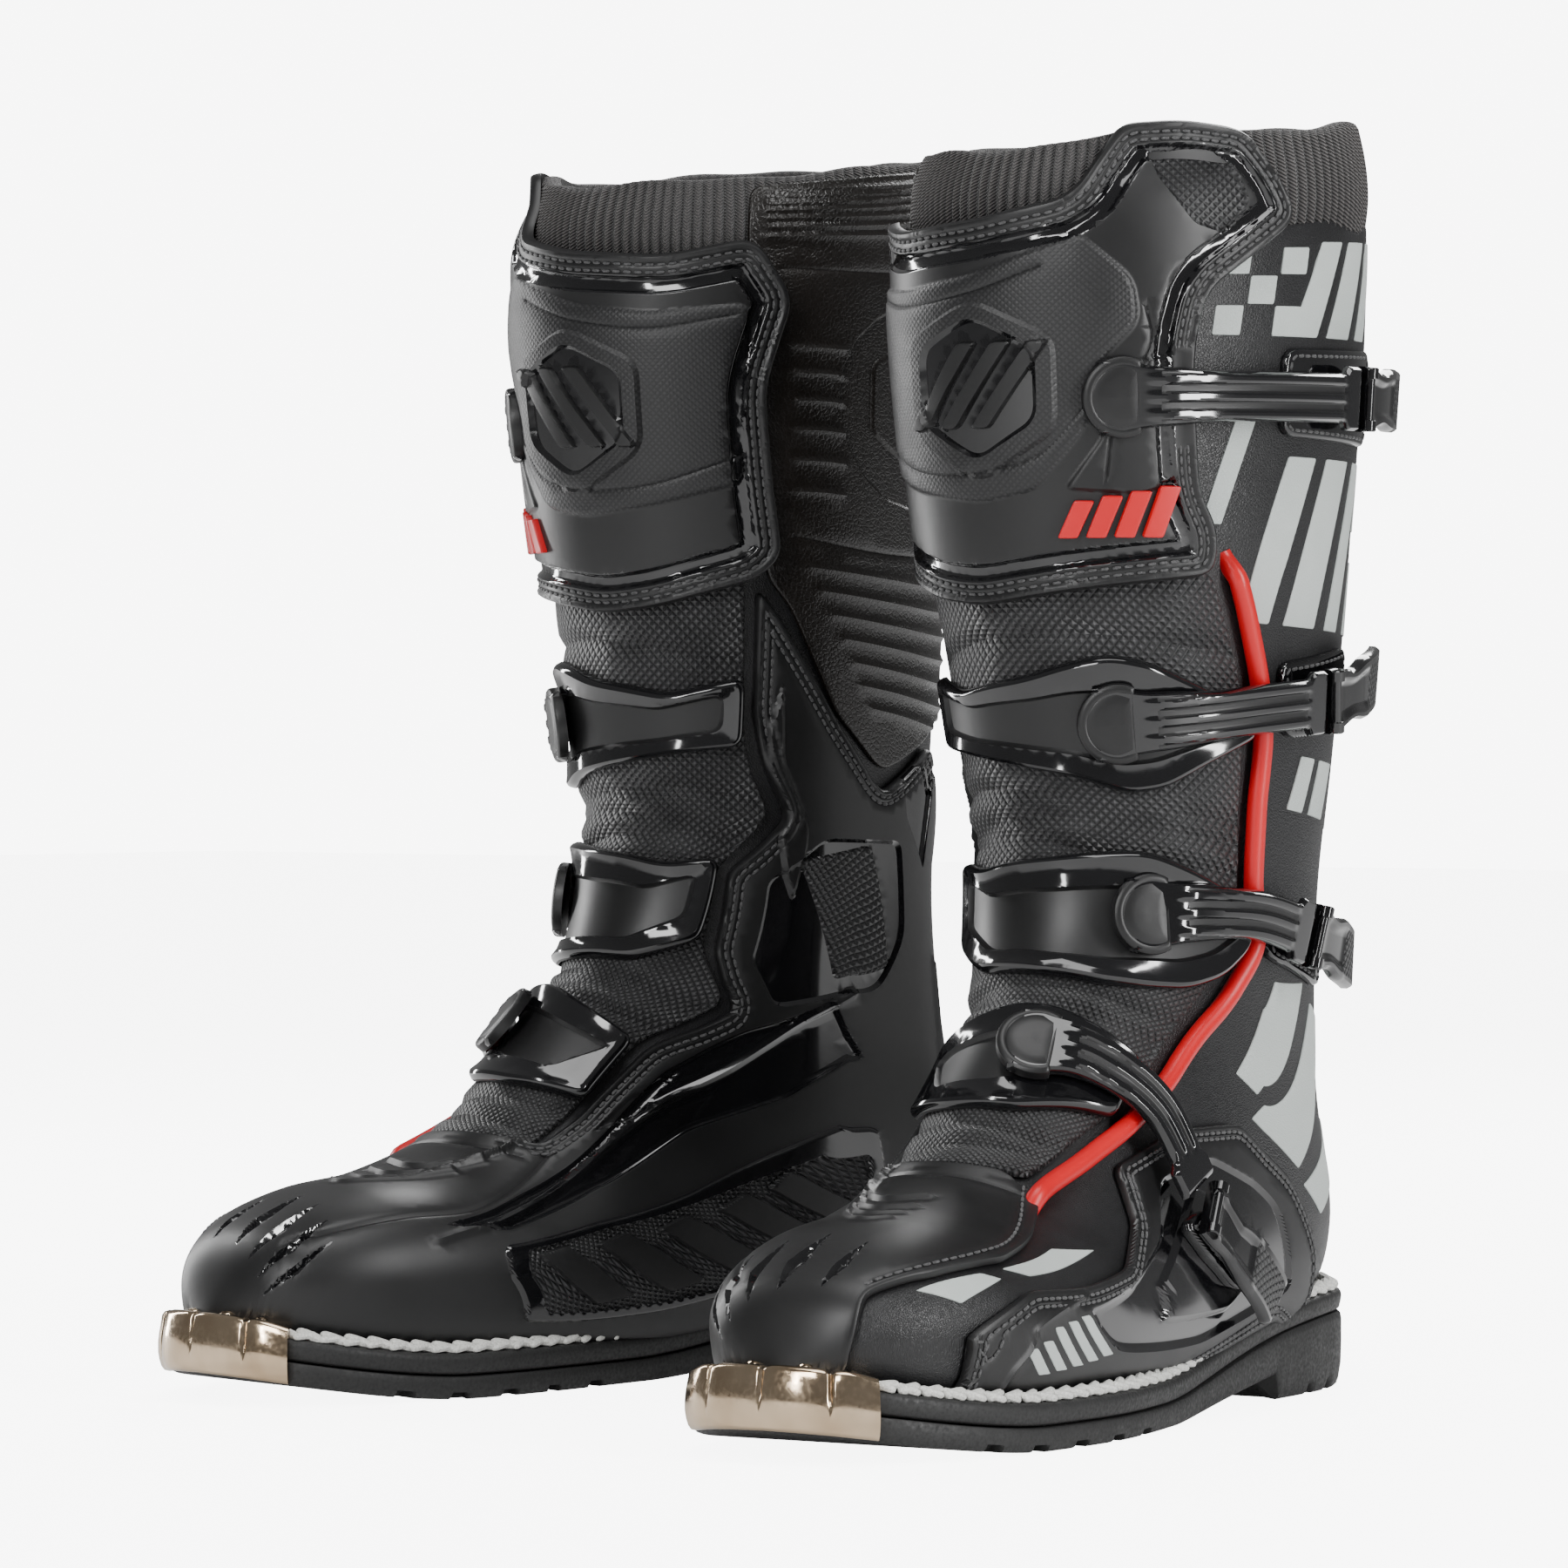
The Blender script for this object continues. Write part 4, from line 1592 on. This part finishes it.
# ---------------------------------------------------------------- put together
def build():
    piece("outsole", outsole_mesh(), "rubber", nodes=["outsole"], angle=40)
    piece("midsole", midsole_mesh(), "rubber", nodes=["midsole"], angle=40)
    piece("welt_stitching", welt_stitching(), "welt_thread")
    piece("toe_cap", cap_mesh(), "cap", nodes=["toe_cap"], angle=50)
    piece("toe_cap_screws", cap_screws(), "cap")
    piece("foot_upper", foot_leather(), "leather", nodes=["foot_upper"])
    piece("leg_leather", leg_leather(), "leather", nodes=["leg_leather"])
    piece("collar_lining", collar_mesh(), ["knit", "lining"], nodes=["collar_lining"])
    piece("calf_guard", calf_mesh(), "embossed", nodes=["calf_guard"])
    piece("bellows", bellows_mesh(), "textile", nodes=["bellows"])
    shell, rows = medial_mesh()
    piece("medial_shell_and_toe_guard", shell, ["matte", "gloss", "wedge"],
          nodes=["medial_shell", "toe_guard"])
    piece("medial_shell_stitching", seam(rows, 3.25), "thread")
    shell, rows = lateral_mesh()
    piece("lateral_shell", shell, ["matte", "gloss"], nodes=["lateral_shell"])
    piece("lateral_shell_stitching", seam(rows, 3.25), "thread")
    guard, rows = shin_mesh()
    piece("shin_plate", guard, ["matte", "honeycomb", "gloss", "wedge"], body="shin", nodes=["shin_plate"])
    piece("shin_plate_stitching", seam(rows, lambda tp: SHIN_TOP - 0.65 - shin_pull(tp)), "thread",
          body="shin")
    piece("shin_plate_badge", badge_mesh(), "red", body="shin")
    for number in (2, 3, 4):
        piece(f"band_{number}", band_mesh(number), ["matte", "gloss"], nodes=[f"band_{number}"])
    piece("piping", piping_mesh(), "red", nodes=["piping"])
    piece("prints", print_mesh(), "print")
    for k, c in enumerate(CLOSURES, 1):
        mesh, frames = strap_mesh(c)
        piece(f"strap_{k}", mesh, ["gloss", "matte"], body=f"closure_strap_{k}", nodes=[f"strap_{k}"])
        piece(f"disc_{k}", disc_mesh(frames), "matte", body=f"closure_strap_{k}")
        mesh, frames = lever_mesh(c)
        piece(f"lever_{k}", mesh, ["gloss", "wedge"], body=f"closure_lever_{k}", nodes=[f"lever_{k}"])
        piece(f"hinge_pin_{k}", pin_mesh(frames), "gloss", body=f"closure_lever_{k}")
        high = 4.2 + c["seat"] if k == 4 else 2.6
        piece(f"catch_{k}", panel(c["patch"], 0.6 + c["seat"], high, 1.2, radius=5, grid=3), "gloss",
              nodes=[f"catch_{k}"])
        rows = edge_rows(c["patch"], 5, (2.2,))
        piece(f"catch_{k}_stitching", seam(rows, high), "thread")


def leg_leather():
    def tops(phi):
        outside = np.interp(phi, [-180, -60, -45, 60, 102, 120, 150, 180],
                            [1.3, 1.5, 2.2, 2.25, 2.13, 2.22, 2.0, 1.3])
        return outside

    def folds(t, phi):
        crease = -0.5 * np.exp(-((t - 2.42) / 0.035) ** 2)
        back = -0.7 * np.exp(-(((phi - 178) % 360) / 1.2) ** 2)
        return crease * (phi > 60) + back

    return tube_leather(tops, 5.52, 0.2, -2.6, folds)


build()


# ---------------------------------------------------------------- hidden pieces keep their solids
for side in ("left", "right"):
    for node, look in (("insole", "board"), ("shank", "steel")):
        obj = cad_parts[f"{side}_{node}"]
        obj.data.materials.clear()
        obj.data.materials.append(LOOKS[look])


# ---------------------------------------------------------------- room, lights, camera
def seen_by_camera(nodes, links, bright, dim):
    """A strength that is bright where the camera looks straight at it, and dim as a source of light."""
    path = nodes.new("ShaderNodeLightPath")
    return mix_value(nodes, links, path.outputs["Is Camera Ray"], dim, bright, 0, 1)


# emission strength as the camera sees it, and as everything else does
FLOOR_GLOW = 7.0, 0.1
WORLD_GLOW = 8.0, 0.2


def studio():
    bpy.ops.mesh.primitive_plane_add(size=14, location=(0, 0, 0))
    floor = bpy.context.object
    floor.name = "floor"
    mat, nodes, links, bsdf = material("pale_floor", (0.86, 0.86, 0.86), 0.65)
    wide = texture(nodes, links, "ShaderNodeTexNoise", 3.0, coord="Object", Detail=3.0)
    links.new(mix_color(nodes, links, wide.outputs["Fac"], (0.84, 0.84, 0.84), (0.88, 0.88, 0.88)),
              bsdf.inputs["Base Color"])
    bsdf.inputs["Emission Color"].default_value = (1, 1, 1, 1)
    links.new(seen_by_camera(nodes, links, *FLOOR_GLOW), bsdf.inputs["Emission Strength"])
    floor.data.materials.append(mat)
    world = bpy.data.worlds.new("studio")
    bpy.context.scene.world = world
    world.use_nodes = True
    back = world.node_tree.nodes["Background"]
    back.inputs["Color"].default_value = (1, 1, 1, 1)
    links = world.node_tree.links
    links.new(seen_by_camera(world.node_tree.nodes, links, *WORLD_GLOW), back.inputs["Strength"])


def lamp(name, place, aim, size, watts):
    data = bpy.data.lights.new(name, "AREA")
    data.shape = "RECTANGLE"
    data.size, data.size_y = size
    data.energy = watts
    obj = bpy.data.objects.new(name, data)
    bpy.context.scene.collection.objects.link(obj)
    obj.location = place
    obj.rotation_euler = (Vector(aim) - Vector(place)).to_track_quat("-Z", "Y").to_euler()


def camera():
    data = bpy.data.cameras.new("camera")
    data.lens = 157
    data.sensor_width = 36
    obj = bpy.data.objects.new("camera", data)
    bpy.context.scene.collection.objects.link(obj)
    azimuth, elevation, distance = math.radians(39.2), math.radians(0.4), 2.012
    target = Vector((0.0396, -0.0612, 0.186))
    away = Vector((math.sin(azimuth) * math.cos(elevation), -math.cos(azimuth) * math.cos(elevation),
                   math.sin(elevation)))
    obj.location = target + away * distance
    obj.rotation_euler = (-away).to_track_quat("-Z", "Y").to_euler()
    bpy.context.scene.camera = obj


studio()
lamp("key", (0.7, -2.0, 1.6), (0, 0, 0.2), (0.6, 0.6), 17)
lamp("side_strip", (1.9, 0.1, 0.7), (0.1, 0, 0.2), (0.16, 1.7), 34)
lamp("front_strip", (0.35, -2.2, 1.0), (0, 0, 0.15), (0.14, 1.1), 16)
lamp("back", (-0.6, 1.6, 1.4), (0, 0, 0.25), (1.2, 0.6), 26)
lamp("left_strip", (-1.7, 0.1, 0.6), (0, 0, 0.2), (0.14, 1.5), 20)
lamp("top", (0.3, -0.2, 2.0), (0, 0, 0.2), (1.0, 1.0), 16)
camera()
